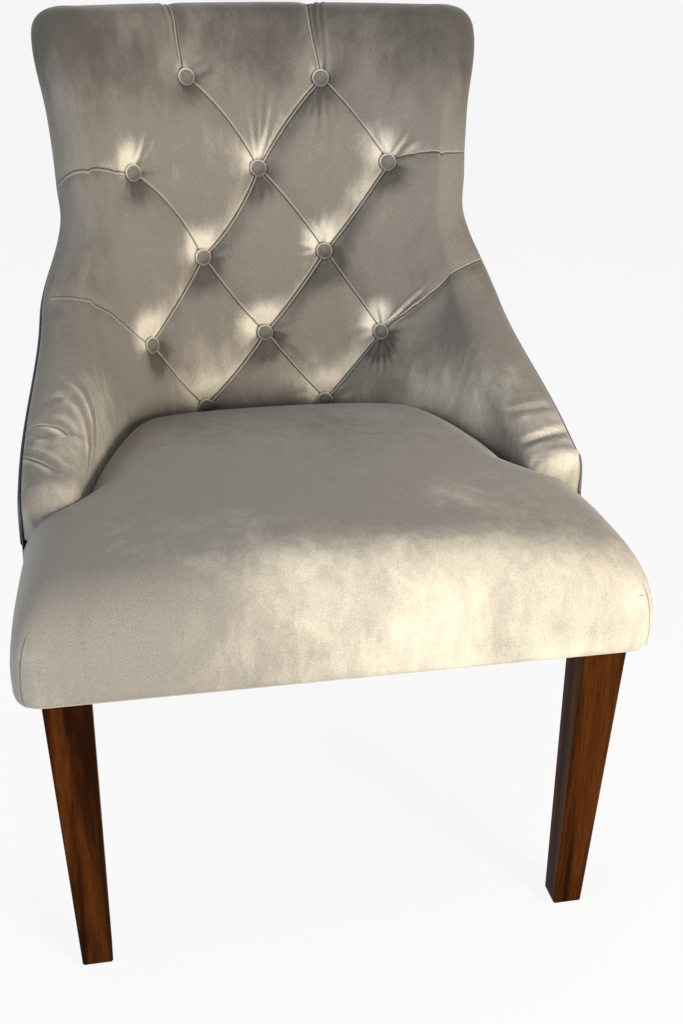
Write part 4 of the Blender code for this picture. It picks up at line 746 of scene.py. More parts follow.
def back_points(places, shares, turns):
    """The padded back as a ring of rows for each column: inside face, rolled edge and hidden side."""
    _, normals, edge, foot, bulge = edge_tables(places)
    q = foot[:, None] + (edge[:, 0] - foot)[:, None] * fanned(places, shares)
    z = COVER_FOOT_Z + (edge[:, 1] - COVER_FOOT_Z)[:, None] * shares
    face = inner_face(q, z)
    edge_q, edge_z = edge[:, 0], edge[:, 1]
    tail = wall_point(edge_q, edge_z, TAIL_INSET)
    ax, ay = along_wall(edge_q, edge_z)
    nq, nz = normals[:, 0], normals[:, 1]
    out = np.stack([ax * nq, ay * nq, nz], axis=-1)
    out /= np.linalg.norm(out, axis=1)[:, None]
    middle, reach = (face[:, -1] + tail) / 2, (face[:, -1] - tail) / 2
    cosine, sine = np.cos(turns)[None, :, None], np.sin(turns)[None, :, None]
    roll = middle[:, None] + reach[:, None] * cosine + out[:, None] * sine * bulge[:, None, None]
    past = turns[None, :] / math.pi * ROLL_RUN
    roll_q, roll_z = edge_q[:, None] + nq[:, None] * past, edge_z[:, None] + nz[:, None] * past
    shown = np.concatenate([face, roll], axis=1)
    shown_q, shown_z = np.concatenate([q, roll_q], axis=1), np.concatenate([z, roll_z], axis=1)
    tail_q, tail_z = edge_q - nq * TAIL_LENGTH, edge_z - nz * TAIL_LENGTH
    hidden = [wall_point(tail_q, tail_z, TAIL_INSET + layer) for layer in TAIL_LAYERS]
    hidden.append(wall_point(edge_q, edge_z, TAIL_INSET + TAIL_LAYERS[1]))
    for share in (1.0, *HIDDEN_SHARES):
        row_q = foot + (edge_q - foot) * fanned(places, np.array([share]))[:, 0]
        row_z = COVER_FOOT_Z + (edge_z - COVER_FOOT_Z) * share
        hidden.append(wall_point(row_q, row_z, np.full_like(edge_q, PAD_INSET)))
    return shown, shown_q, shown_z, np.stack(hidden, axis=1)


def tufted_back(finish):
    """The inside of back and arms as one padded piece, evened at its bends and drawn in by the tufting."""
    spacing, rows, passes = FINE_GRID
    places = even_places(*spacing)
    shares = np.linspace(0, 1, rows)
    turns = np.radians(np.linspace(0, ROLL_END, ROLL_STEPS + 1)[1:])
    shown, q, z, hidden = back_points(places, shares, turns)
    shown, hidden = both_halves(shown), both_halves(hidden)
    q, z = both_halves(q, False), both_halves(z, False)
    q[: len(places) - 1] *= -1
    inner = np.concatenate([eased(shares, *BEND_SHARE), np.zeros(len(turns))])[None, :]
    bend = eased(np.abs(q), *BEND_Q[0]) * eased(np.abs(q), *BEND_Q[1]) * inner
    shown = evened(shown, passes, bend)
    into_roll = np.exp(-((np.arange(shown.shape[1]) - rows + 1) / ROLL_SOFT_ROWS) ** 2)
    shown = evened(shown, 24, np.broadcast_to(into_roll, shown.shape[:2]) * 0.8)
    depth, marks = tufting(q, z)
    rolled = np.concatenate([np.zeros(rows), turns / math.pi])
    depth *= eased(rolled, *DEPTH_END)[None, :]
    shown = shown - surface_normals(shown) * depth[..., None]
    ring = np.concatenate([shown, hidden], axis=1)
    piece = ringed_piece("tufted_back", ring, finish)
    for name, values in marks.items():
        whole = np.zeros(ring.shape[:2])
        whole[:, : values.shape[1]] = values
        store(piece, name, whole)
    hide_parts("back_cover", "back_foam")


# Outside panel

def outer_panel(finish):
    """The cloth of the outside of back and arms, from the turned-in hem to the blind seam along the edge."""
    places = even_places(*PANEL_SPACING)
    points, normals, edge, foot, _ = edge_tables(places)
    blend = eased(places, *PANEL_COLUMNS)
    foot = foot.copy()
    foot[-1] = points[-1, 0] - PANEL_INSET_Q
    foot = foot + (points[:, 0] - PANEL_INSET_Q - foot) * blend * 0.6
    shares = np.concatenate([np.linspace(0, 0.9, 26)[:-1], np.linspace(0.9, 1, 10)])
    q = np.empty((len(places), len(shares) + 2))
    z, inset = np.empty_like(q), np.zeros_like(q)
    for index, share in enumerate(shares):
        lean = fanned(places, np.array([share]))[:, 0]
        lean += (share ** 6 - lean) * blend
        q[:, index + 1] = foot + (edge[:, 0] - foot) * lean
        z[:, index + 1] = SEAT_HEM_Z + (edge[:, 1] - SEAT_HEM_Z) * share
    q[:, 0], z[:, 0], inset[:, 0] = q[:, 1], SEAT_HEM_Z, PANEL_HEM
    height = (edge[:, 1] - SEAT_HEM_Z)[:, None] * (1 - shares)
    band = PANEL_BAND * (1 - 0.8 * eased(places, *PANEL_BAND_COLUMNS))
    swell = np.sin(math.pi * np.clip(height / (2 * band[:, None]), 0, 1))
    inset[:, 1:-1] = -PANEL_PROUD - PANEL_SWELL * swell
    q[:, -1] = edge[:, 0] - normals[:, 0] * PANEL_TURN
    z[:, -1] = edge[:, 1] - normals[:, 1] * PANEL_TURN
    inset[:, -1] = PANEL_TURN_INSET
    near = both_halves(wall_point(q, z, inset))
    depth, lift = np.full_like(q, CLOTH), np.zeros_like(q)
    depth[:, 0], lift[:, 0] = 0, CLOTH
    far = both_halves(wall_point(q, z + lift, inset + depth))
    ring = np.concatenate([near, far[:, ::-1]], axis=1)
    piece = ringed_piece("outer_panel", ring, finish)
    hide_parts("outside_cover")


# Cloths of the inside and underside

def stretched_cloth(source, name, finish, sag):
    """A finer copy of a stretched cloth, slightly slack between its fixings."""
    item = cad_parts[source]
    mesh = item.data.copy()
    mesh.transform(item.matrix_world)
    bm = bmesh.new()
    bm.from_mesh(mesh)
    bmesh.ops.subdivide_edges(bm, edges=bm.edges, cuts=2, use_grid_fill=True)
    area = sum(face.calc_area() for face in bm.faces) / 2
    for vert in bm.verts:
        ripple = noise_at.noise(Vector((vert.co.x * 14, vert.co.y * 14, vert.co.z * 14)))
        vert.co += Vector(sag) * ripple
    bm.to_mesh(mesh)
    bm.free()
    mesh.name = name
    mesh.materials.clear()
    mesh.materials.append(finish)
    mesh.shade_smooth()
    piece = bpy.data.objects.new(name, mesh)
    bpy.context.scene.collection.objects.link(piece)
    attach(piece, "root")
    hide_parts(source)


# Seat

def roll_down(inset, radius, drop):
    """How far a rolled rim has come down at an inset from its edge."""
    share = max(0.0, 1 - inset / radius)
    return drop * (1 - math.sqrt(1 - share * share))


def seat_crown(x, y):
    fall = SEAT_FALL_SIDE * (abs(x) / SEAT_HALF_WIDTH) ** 2.4
    if y < SEAT_CROWN_Y:
        share = (SEAT_CROWN_Y - y) / (SEAT_CROWN_Y - SEAT_FRONT_Y)
        return SEAT_CROWN_Z - fall - SEAT_FALL_FRONT * share ** 3
    rear = SHELL_REAR_Y - WALL_BACK
    return SEAT_CROWN_Z - fall - SEAT_FALL_REAR * ((y - SEAT_CROWN_Y) / (rear - SEAT_CROWN_Y)) ** 2


def front_point(x, y):
    """A point of the front of the seat, with its corner rounded in plan and its rim rolled down."""
    out = max(0.0, (x - SEAT_HALF_WIDTH) / SEAT_CORNER_RADIUS + 1)
    ahead = max(0.0, (SEAT_FRONT_Y - y) / SEAT_CORNER_RADIUS + 1)
    round_x = x - SEAT_CORNER_RADIUS * out * (1 - math.sqrt(1 - ahead * ahead / 2))
    round_y = y + SEAT_CORNER_RADIUS * ahead * (1 - math.sqrt(1 - out * out / 2))
    side = max(0.0, 1 - (SEAT_HALF_WIDTH - x) / SEAT_ROLL_SIDE)
    front = max(0.0, 1 - (y - SEAT_FRONT_Y) / SEAT_ROLL_FRONT)
    left = min(1.0, max(side, front))
    roll = SEAT_ROLL_SIDE
    if left > 0:
        roll += (SEAT_ROLL_FRONT - SEAT_ROLL_SIDE) * front ** 4 / (side ** 4 + front ** 4)
    drop = roll * (1 - math.sqrt(1 - left * left))
    wider = 1 + SEAT_TAPER / SEAT_HALF_WIDTH * float(eased(NOTCH_Y - y, 0, NOTCH_Y - SEAT_FRONT_Y))
    return [round_x * wider, round_y, seat_crown(round_x, round_y) - drop]


def inner_wall(q):
    return inner_face(np.array(float(q)), np.array(PLAN_LOW_Z))[:2]


def rear_rows(columns):
    """Rows of the seat between the arms, from the notch to the back, bent to follow the padded wall."""
    side_end = curve_through(outline_knots(), np.array([LAST_COLUMN]))[0, 0] - 2 * FRONT_BULGE
    rear_end = side_end * 0.5
    rear_y, rear_side = inner_wall(0.0)[1], inner_wall(rear_end)
    rows = []
    for v in 1 - (1 - np.linspace(0, 1, 56)) ** 1.3:
        side = inner_wall(side_end + (rear_end - side_end) * v)
        if v == 0:
            side[1] = NOTCH_Y
        middle_y = NOTCH_Y + (rear_y - NOTCH_Y) * v
        side_drop = SEAT_ROLL_SIDE + (SEAT_RIM_DROP - SEAT_ROLL_SIDE) * float(eased(v, *SIDE_DROP_SHARE))
        row = []
        for x in columns:
            u = x / SEAT_HALF_WIDTH
            straight = np.array([rear_side[0] * u, rear_y + (rear_side[1] - rear_y) * u])
            last = inner_wall(rear_end * u) - straight
            px = side[0] * u + last[0] * v * v
            py = middle_y + (side[1] - middle_y) * u + last[1] * v * v
            rear_share = float(eased(rear_end * u, *REAR_DROP_Q))
            rear_drop = SEAT_ROLL_REAR + (SEAT_RIM_DROP - SEAT_ROLL_REAR) * rear_share
            side_fall = roll_down(side[0] * (1 - u), SEAT_RIM, side_drop)
            rear_fall = roll_down((rear_y - NOTCH_Y) * (1 - v), REAR_RIM + 0.5 * SEAT_RIM * u, rear_drop)
            row.append([px, py, seat_crown(px, py) - (side_fall ** 1.5 + rear_fall ** 1.5) ** (1 / 1.5)])
        rows.append(row)
    return rows


def seat_half():
    """Rows of points over the right half, from front to rear, and the height at which each skirt ends."""
    corner = np.sin(np.linspace(0, math.pi / 2, SEAT_CORNER_STEPS))
    inner = SEAT_HALF_WIDTH - SEAT_CORNER_RADIUS
    columns = np.concatenate([np.linspace(0, inner, 66)[:-1], inner + SEAT_CORNER_RADIUS * corner])
    rows = []
    for share in corner[::-1]:
        y = SEAT_FRONT_Y + SEAT_CORNER_RADIUS * (1 - share)
        rows.append([front_point(x, y) for x in columns])
    lead_start = (NOTCH_Y - SEAT_FRONT_Y - SEAT_CORNER_RADIUS) / 2
    for lead in np.linspace(2 * lead_start, lead_start, 20)[1:]:
        rows.append([front_point(x, NOTCH_Y - lead) for x in columns])
    for lead in np.linspace(lead_start, NOTCH_LEADS[1], 22)[1:]:
        bend = float(eased(lead, lead_start, NOTCH_LEADS[0]))
        leads = lead * (1 - bend * (columns / SEAT_HALF_WIDTH) ** 4)
        rows.append([front_point(x, NOTCH_Y - ahead) for x, ahead in zip(columns, leads)])
    rear = rear_rows(columns)
    feet = [SEAT_HEM_Z] * len(rows) + [TUCK_Z] * len(rear)
    return np.array(rows + rear), np.array(feet)


def seat_skirt(rim, foot):
    """Rings of points from the rim of the seat down to its foot and turned-in hem, and the way outwards."""
    along = np.roll(rim, -1, axis=0)[:, :2] - np.roll(rim, 1, axis=0)[:, :2]
    along /= np.maximum(np.linalg.norm(along, axis=1), 1e-9)[:, None]
    outward = np.stack([along[:, 1], -along[:, 0]], axis=1)
    free = (foot < TUCK_Z - 0.001) & (np.abs(rim[:, 1] - NOTCH_Y) >= NOTCH_SPAN)
    layers = []
    for t in np.linspace(0, 1, SEAT_LAYERS)[1:]:
        low = max(0.0, (t - SEAT_HEM_SHARE) / (1 - SEAT_HEM_SHARE))
        swell = SEAT_BULGE * math.sin(math.pi * t) ** 2 - SEAT_HEM_LIFT * low ** 2
        ring = rim.copy()
        ring[:, :2] += outward * (swell * free)[:, None]
        ring[:, 2] += (foot - rim[:, 2]) * t
        layers.append(ring)
    hem = layers[-1].copy()
    hem[:, :2] -= outward * np.where(free, SEAT_HEM_TURN, TUCK_TURN)[:, None]
    return layers + [hem], outward


def seat_lining(outer, top_count, rings, outward):
    """The inside of the seat: its foam on the deck, and the inner side of the skirt."""
    inside = outer.copy()
    inside[:top_count, 2] = np.minimum(FOAM_FOOT_Z, outer[:top_count, 2] - SEAT_LEAST_DEPTH)
    inside[rings[0], :2] -= outward * CLOTH
    for ring in rings[1:-1]:
        part = inside[ring]
        part[:, :2] -= outward * CLOTH
        part[:, 2] = np.minimum(part[:, 2], FOAM_FOOT_Z)
        inside[ring] = part
    for ring in rings[-2:]:
        inside[ring, 2] += CLOTH
    return inside


def smoothed_front(piece, points, total):
    """Smooths the band below the rolled front, and moves the inner points along with it."""
    bm = bmesh.new()
    bm.from_mesh(piece.data)
    bm.verts.ensure_lookup_table()
    low, high = EVENED_BAND_Z
    inside = (points[:total, 2] > low) & (points[:total, 2] < high)
    inside &= points[:total, 1] - CENTRE_SHIFT_Y < EVENED_BAND_Y
    band = [bm.verts[index] for index in np.flatnonzero(inside)]
    for _ in range(24):
        bmesh.ops.smooth_vert(bm, verts=band, factor=0.5, use_axis_x=True, use_axis_y=True, use_axis_z=True)
    bm.to_mesh(piece.data)
    bm.free()
    moved = np.empty(len(points) * 3)
    piece.data.vertices.foreach_get("co", moved)
    moved = moved.reshape(-1, 3)
    moved[total:, :2] += (moved - points)[:total, :2]
    piece.data.vertices.foreach_set("co", moved.ravel())
    piece.data.update()
    return moved


def crowned_seat(finish):
    """The tight seat: crowned top, rolled front and sides, skirt, turned-in hem and the foam on its deck."""
    half, feet = seat_half()
    left = half[:, :0:-1].copy()
    left[..., 0] *= -1
    top = np.concatenate([left, half], axis=1)
    turn = (top[..., 1] > EVENED_NOTCH_Y[0]) & (top[..., 1] < EVENED_NOTCH_Y[1])
    top = evened(top, 30, turn * 0.8)
    top = evened(top, 16, eased(np.abs(top[..., 0]), *EVENED_X) * eased(-top[..., 1], *EVENED_FRONT))
    rows, columns = top.shape[:2]
    number = np.arange(rows * columns).reshape(rows, columns)
    loop = np.concatenate([number[0, :-1], number[:-1, -1], number[-1, :0:-1], number[:0:-1, 0]])
    foot = np.repeat(feet[:, None], columns, axis=1).ravel()[loop]
    layers, outward = seat_skirt(top.reshape(-1, 3)[loop], foot)
    outer = np.concatenate([top.reshape(-1, 3)] + layers)
    count, total = len(loop), len(outer)
    rings = [loop] + [rows * columns + count * index + np.arange(count) for index in range(len(layers))]
    corners = (number[:-1, :-1], number[:-1, 1:], number[1:, 1:], number[1:, :-1])
    quads = [np.stack(corners, axis=-1).reshape(-1, 4)]
    for low, high in zip(rings, rings[1:]):
        quads.append(np.stack([np.roll(low, 1), low, high, np.roll(high, 1)], axis=-1))
    shown = np.concatenate(quads)
    last = rings[-1]
    closing = np.stack([np.roll(last, 1), last, last + total, np.roll(last, 1) + total], axis=-1)
    faces = np.concatenate([shown, shown[:, ::-1] + total, closing]).tolist()
    points = np.concatenate([outer, seat_lining(outer, rows * columns, rings, outward)])
    points[:, 1] += CENTRE_SHIFT_Y
    piece = add_piece("crowned_seat", points, faces, finish)
    points = smoothed_front(piece, points, total)
    x, y, z = points[:, 0], points[:, 1] - CENTRE_SHIFT_Y, points[:, 2]
    across = np.abs(x) - (SEAT_HALF_WIDTH + SEAT_TAPER) + y - SEAT_FRONT_Y + SEAM_SHIFT
    store(piece, "seam", np.clip(across / SEAM_WIDTH, -1, 1))
    store(piece, "seam_shown", eased(z, *SEAM_TOP_Z) * (y < SEAT_FRONT_Y + SEAM_DEPTH_Y))
    # Painted light on the front and right of the seat and painted shade at its rear
    store(piece, "painted_light", painted_patches(SEAT_PAINTED_LIGHT, {"right": x, "front": -y, "rear": y}))
    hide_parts("seat_cover", "seat_foam")


# Buttons

def covered_button():
    """One covered button round its own axis: domed face, rolled rim and the neck that gathers the cloth."""
    profile = [(0.25, 0.0041), (0.45, 0.0037), (0.62, 0.0030), (0.72, 0.0024), (0.78, 0.0026), (0.84, 0.0034),
               (0.90, 0.0036), (0.96, 0.0028), (1.0, 0.0010), (0.98, -0.0010), (0.86, -0.0020),
               (0.55, -0.0026), (0.22, -0.0060), (0.16, -0.0120)]
    points = [(0.0, 0.0, 0.0042)]
    for share, height in profile:
        for turn in 2 * math.pi * np.arange(BUTTON_STEPS) / BUTTON_STEPS:
            pucker = 1 + PUCKER * math.sin(turn * BUTTON_PUCKERS) * (share > 0.7) * (height < 0.003)
            radius = share * BUTTON_RADIUS * pucker
            points.append((radius * math.cos(turn), radius * math.sin(turn), height))
    points.append((0.0, 0.0, -0.0122))
    last = len(points) - 1
    faces = []
    for step in range(BUTTON_STEPS):
        after = (step + 1) % BUTTON_STEPS
        faces.append([0, 1 + step, 1 + after])
        for ring in range(1, last - BUTTON_STEPS, BUTTON_STEPS):
            faces.append([ring + step, ring + BUTTON_STEPS + step, ring + BUTTON_STEPS + after, ring + after])
        faces.append([last - BUTTON_STEPS + step, last, last - BUTTON_STEPS + after])
    return np.array(points), faces


def buttons(finish):
    points, faces = covered_button()
    away = np.hypot(points[:, 0], points[:, 1]) / BUTTON_RADIUS
    rim = np.exp(-((away - 0.89) / 0.10) ** 2)
    for name, (q, z) in BUTTONS.items():
        near = BUTTON_SPAN * np.array([(0, 0), (1, 0), (-1, 0), (0, 1), (0, -1)])
        places = inner_face(q + near[:, 0], z + near[:, 1])
        facing = Vector(np.cross(places[1] - places[2], places[3] - places[4])).normalized()
        turn = np.array(Vector((0, 0, 1)).rotation_difference(facing).to_matrix())
        placed = points @ turn.T + places[0] - np.array(facing) * (BUTTON_SEAT - BUTTON_LIFT)
        placed[:, 1] += CENTRE_SHIFT_Y
        piece = add_piece("covered_button_" + name, placed, faces, finish)
        beside = (placed - placed[0]) / BUTTON_RADIUS
        heading = beside[:, 2] - 0.5 * beside[:, 0]
        # Painted highlight on the upper side of each button's rim, and painted shade over its lower side and
        # face
        store(piece, "painted_light", rim * (0.55 + 0.55 * heading) + (1 - rim) * (0.45 * heading - 0.25))
        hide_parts("button_" + name)


# Materials

def new_material(name, colour, roughness, metallic=0.0):
    made = bpy.data.materials.new(name)
    made.use_nodes = True
    shader = made.node_tree.nodes["Principled BSDF"]
    shader.inputs["Base Color"].default_value = (*colour, 1)
    shader.inputs["Roughness"].default_value = roughness
    shader.inputs["Metallic"].default_value = metallic
    return made, made.node_tree, shader


def node(tree, kind, inputs=None, **settings):
    made = tree.nodes.new(kind)
    for key, value in settings.items():
        setattr(made, key, value)
    for key, value in (inputs or {}).items():
        if isinstance(value, bpy.types.NodeSocket):
            tree.links.new(value, made.inputs[key])
        else:
            made.inputs[key].default_value = value
    return made


def noise(tree, place, scale, detail=3.0, roughness=0.5, distortion=0.0):
    return node(tree, "ShaderNodeTexNoise", {"Vector": place, "Scale": scale, "Detail": detail,
                "Roughness": roughness, "Distortion": distortion}).outputs["Fac"]


def ranged(tree, value, low, high, to_low=0.0, to_high=1.0):
    return node(tree, "ShaderNodeMapRange", {"Value": value, "From Min": low, "From Max": high,
                "To Min": to_low, "To Max": to_high}, interpolation_type="SMOOTHSTEP").outputs["Result"]


def math_node(tree, operation, *values):
    return node(tree, "ShaderNodeMath", dict(enumerate(values)), operation=operation).outputs["Value"]


def chained(tree, operation, first, *others):
    for value in others:
        first = math_node(tree, operation, first, value)
    return first


def plus(tree, *values):
    return chained(tree, "ADD", *values)


def times(tree, *values):
    return chained(tree, "MULTIPLY", *values)


def mixed(tree, factor, first, second, blend="MIX"):
    made = node(tree, "ShaderNodeMix", data_type="RGBA", blend_type=blend)
    for socket, value in ((made.inputs[0], factor), (made.inputs[6], first), (made.inputs[7], second)):
        if isinstance(value, bpy.types.NodeSocket):
            tree.links.new(value, socket)
        else:
            socket.default_value = value
    return made.outputs[2]


def attribute(tree, name):
    return node(tree, "ShaderNodeAttribute", attribute_name=name).outputs["Fac"]


def bell(tree, value, middle, width):
    """A smooth hump of height 1 round a middle."""
    off = math_node(tree, "DIVIDE", math_node(tree, "SUBTRACT", value, middle), width)
    return math_node(tree, "POWER", math.e, times(tree, off, off, -1.0))


def place_on(tree, scale=(1.0, 1.0, 1.0), turn=(0.0, 0.0, 0.0)):
    """The place on the piece, drawn out or turned for a pattern that has a direction."""
    place = node(tree, "ShaderNodeTexCoord").outputs["Object"]
    mapping = node(tree, "ShaderNodeMapping", {"Vector": place, "Rotation": turn, "Scale": scale})
    return mapping.outputs["Vector"]


def surface(tree, shader, colour, height, strength, distance):
    """Gives the shader its colour and its fine relief."""
    if colour is not None:
        tree.links.new(colour, shader.inputs["Base Color"])
    bump = node(tree, "ShaderNodeBump", {"Height": height, "Strength": strength, "Distance": distance})
    tree.links.new(bump.outputs["Normal"], shader.inputs["Normal"])


def folds_with_painted_shade(tree, colour, height, dark, light):
    """Draws the folds of the back: painted shade along each crease line and painted highlights on the ridges
    beside it, by how high the fold is, with the ridges raised in the bump.
    """
    left, right, high = [attribute(tree, name) for name in ("fold_left", "fold_right", "fold_height")]
    across = math_node(tree, "SUBTRACT", left, right)
    near = ranged(tree, plus(tree, left, right), 0.95, 0.60)
    near = times(tree, near, math_node(tree, "MINIMUM", high, 1.0))
    second = ranged(tree, high, 1.1, 1.8)
    ridge = plus(tree, bell(tree, across, 0.26, 0.14), times(tree, bell(tree, across, -0.26, 0.14), second))
    outer = times(tree, bell(tree, across, 0.55, 0.12), second, 0.7)
    crease = plus(tree, bell(tree, across, 0.0, 0.10), outer)
    # The darkest tone, used as painted shade in the creases
    deep = (*(part * 0.35 for part in dark), 1)
    colour = mixed(tree, times(tree, crease, near, 0.75), colour, deep)
    # painted highlights on the ridges
    colour = mixed(tree, times(tree, ridge, near, 0.38), colour, (*light, 1))
    raised = times(tree, math_node(tree, "SUBTRACT", ridge, crease), near, 1.2)
    return colour, plus(tree, height, raised)


def seamed(tree, colour, height, dark):
    """Draws the sewn corners of the seat as a dark, sunk line."""
    line = times(tree, bell(tree, attribute(tree, "seam"), 0.0, 0.10), attribute(tree, "seam_shown"))
    colour = mixed(tree, times(tree, line, 0.7), colour, (*dark, 1))
    return colour, plus(tree, height, times(tree, line, -1.5))


def velvet(name, dark, plain, light, uneven=1.0, folds=False, seams=False):
    """Brushed short-pile velvet: patches where the pile leans either way, marks, speckle and soft sheen, with
    painted light and shade from an attribute of each piece laid into its colour.
    """
    made, tree, shader = new_material(name, plain, 0.80)
    shader.inputs["Sheen Weight"].default_value = 0.35
    shader.inputs["Sheen Roughness"].default_value = 0.35
    shader.inputs["Sheen Tint"].default_value = (1.0, 0.97, 0.92, 1)
    shader.inputs["Specular IOR Level"].default_value = 0.25
    place = place_on(tree)
    broad = noise(tree, place, 4.0, 2.0, 0.5, 0.4)
    marks = noise(tree, place, 13.0, 3.0, 0.55, 0.8)
    strokes = noise(tree, place_on(tree, (1.0, 1.0, 0.35), (0.5, 0.3, 0.4)), 60.0, 4.0, 0.6, 0.5)
    grain = noise(tree, place, 900.0, 2.0, 0.6)
    # The sum holds the pile's random patches and marks, together with the painted light and shade of each piece
    lean = plus(tree, ranged(tree, broad, 0.30, 0.70, -0.26 * uneven, 0.26 * uneven),
                ranged(tree, marks, 0.50, 0.72, 0.0, 0.24 * uneven),
                ranged(tree, marks, 0.50, 0.30, 0.0, -0.10 * uneven),
                ranged(tree, strokes, 0.30, 0.70, -0.08, 0.08), attribute(tree, "painted_light"))
    colour = mixed(tree, ranged(tree, lean, 0.05, 1.05), (*plain, 1), (*light, 1))
    colour = mixed(tree, ranged(tree, lean, 0.0, -0.75), colour, (*dark, 1))
    colour = mixed(tree, 1.0, colour, ranged(tree, grain, 0.30, 0.70, 0.82, 1.14), "MULTIPLY")
    height = plus(tree, times(tree, grain, 0.22), times(tree, marks, 0.50), times(tree, strokes, 0.35))
    # The folds of the back get painted shade in their creases and painted highlights on their ridges
    if folds:
        colour, height = folds_with_painted_shade(tree, colour, height, dark, light)
    if seams:
        colour, height = seamed(tree, colour, height, dark)
    surface(tree, shader, colour, height, 0.8, 0.0012)
    return made


def lacquered_wood():
    """Dark stained wood under a thin lacquer that barely reflects; its streaks along the leg are partly grain
    and partly a painted sheen.
    """
    made, tree, shader = new_material("dark_lacquer", (0.040, 0.012, 0.006), 0.34)
    shader.inputs["Specular IOR Level"].default_value = 0.01
    place = place_on(tree, (1.0, 1.0, 0.04))
    streak = noise(tree, place, 38.0, 4.0, 0.6, 0.6)
    fibre = noise(tree, place, 420.0, 3.0, 0.6)
    # The streaks along the leg are partly its grain and partly a painted sheen of the lacquer
    colour = mixed(tree, ranged(tree, streak, 0.42, 0.66), (0.014, 0.004, 0.001, 1), (0.070, 0.020, 0.003, 1))
    colour = mixed(tree, ranged(tree, fibre, 0.45, 0.75, 0.0, 0.6), colour, (0.012, 0.004, 0.003, 1))
    surface(tree, shader, colour, fibre, 0.25, 0.0003)
    return made


def sawn_wood():
    made, tree, shader = new_material("sawn_hardwood", (0.48, 0.33, 0.19), 0.75)
    streak = noise(tree, place_on(tree, (0.25, 1.0, 1.0)), 60.0, 5.0, 0.6, 0.8)
    colour = mixed(tree, ranged(tree, streak, 0.35, 0.70), (0.56, 0.40, 0.24, 1), (0.36, 0.23, 0.12, 1))
    surface(tree, shader, colour, streak, 0.4, 0.0006)
    return made


def woven(name, first, second, threads):
    """Plain weave as two crossed sets of threads."""
    made, tree, shader = new_material(name, first, 0.95)
    place = place_on(tree)
    bands = []
    for direction in ("X", "Y"):
        wave = node(tree, "ShaderNodeTexWave", {"Vector": place, "Scale": threads, "Distortion": 0.6,
                    "Detail": 1.0}, wave_type="BANDS", bands_direction=direction)
        bands.append(wave.outputs["Fac"])
    weave = times(tree, *bands)
    slub = noise(tree, place, 120.0, 3.0)
    gap = (*(part * 0.4 for part in first), 1)
    colour = mixed(tree, ranged(tree, slub, 0.35, 0.70), (*first, 1), (*second, 1))
    colour = mixed(tree, ranged(tree, weave, 0.0, 0.35, 0.5, 0.0), colour, gap)
    surface(tree, shader, colour, weave, 0.6, 0.0006)
    return made


def metal(name, colour, roughness, scale):
    made, tree, shader = new_material(name, colour, roughness, 1.0)
    spots = noise(tree, place_on(tree), scale, 4.0, 0.6)
    dull = (*(part * 0.75 for part in colour), 1)
    shade = mixed(tree, ranged(tree, spots, 0.3, 0.7), dull, (*colour, 1))
    tree.links.new(shade, shader.inputs["Base Color"])
    worn = ranged(tree, spots, 0.3, 0.7, roughness + 0.12, roughness - 0.05)
    tree.links.new(worn, shader.inputs["Roughness"])
    return made


def nylon():
    made, tree, shader = new_material("moulded_nylon", (0.045, 0.042, 0.040), 0.55)
    surface(tree, shader, None, noise(tree, place_on(tree), 1600.0, 2.0), 0.3, 0.0002)
    return made


def repaint(finish, *starts):
    """Gives a finish to each node whose name starts so."""
    for name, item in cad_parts.items():
        if name.startswith(starts):
            for slot in item.material_slots:
                slot.material = finish


# Stage: floor, light and camera, whose angles are its turn, its slope and its roll in degrees

CAMERA_ANGLES = (-11.32, 24.13, 0.43)
CAMERA_PLACE = (-0.234, -1.4714, 1.057)
CAMERA_LENS = 46.617
CAMERA_SENSOR = 36


def seen_directly(tree):
    """1 for rays of the camera and for what is seen in or through a surface, 0 for light on its way."""
    path = node(tree, "ShaderNodeLightPath").outputs
    through = math_node(tree, "MAXIMUM", path["Is Glossy Ray"], path["Is Transmission Ray"])
    return math_node(tree, "MAXIMUM", path["Is Camera Ray"], through)


def stage():
    bpy.ops.object.select_all(action="DESELECT")
    bpy.ops.mesh.primitive_plane_add(size=80, location=(0, 0, 0))
    floor = bpy.context.object
    floor.name = "floor"
    made, tree, shader = new_material("pale_floor", (0.90, 0.90, 0.89), 0.9)
    glow = node(tree, "ShaderNodeEmission", {"Color": (1, 1, 1, 1), "Strength": 1.0})
    blend = node(tree, "ShaderNodeMixShader", {0: times(tree, seen_directly(tree), 0.88),
                 1: shader.outputs["BSDF"], 2: glow.outputs["Emission"]})
    tree.links.new(blend.outputs["Shader"], tree.nodes["Material Output"].inputs["Surface"])
    floor.data.materials.append(made)
    world = bpy.data.worlds.new("room")
    bpy.context.scene.world = world
    world.use_nodes = True
    tree = world.node_tree
    light = node(tree, "ShaderNodeBackground", {"Color": (0.90, 0.95, 1.0, 1), "Strength": 0.30})
    white = node(tree, "ShaderNodeBackground", {"Color": (1, 1, 1, 1), "Strength": 1.0})
    blend = node(tree, "ShaderNodeMixShader", {0: seen_directly(tree), 1: light.outputs["Background"],
                 2: white.outputs["Background"]})
    tree.links.new(blend.outputs["Shader"], tree.nodes["World Output"].inputs["Surface"])


def lamp(name, place, aim, size, power, colour):
    data = bpy.data.lights.new(name, "AREA")
    data.shape = "DISK"
    data.size, data.energy, data.color = size, power, colour
    item = bpy.data.objects.new(name, data)
    item.location = place
    item.rotation_euler = (Vector(aim) - Vector(place)).to_track_quat("-Z", "Y").to_euler()
    bpy.context.scene.collection.objects.link(item)


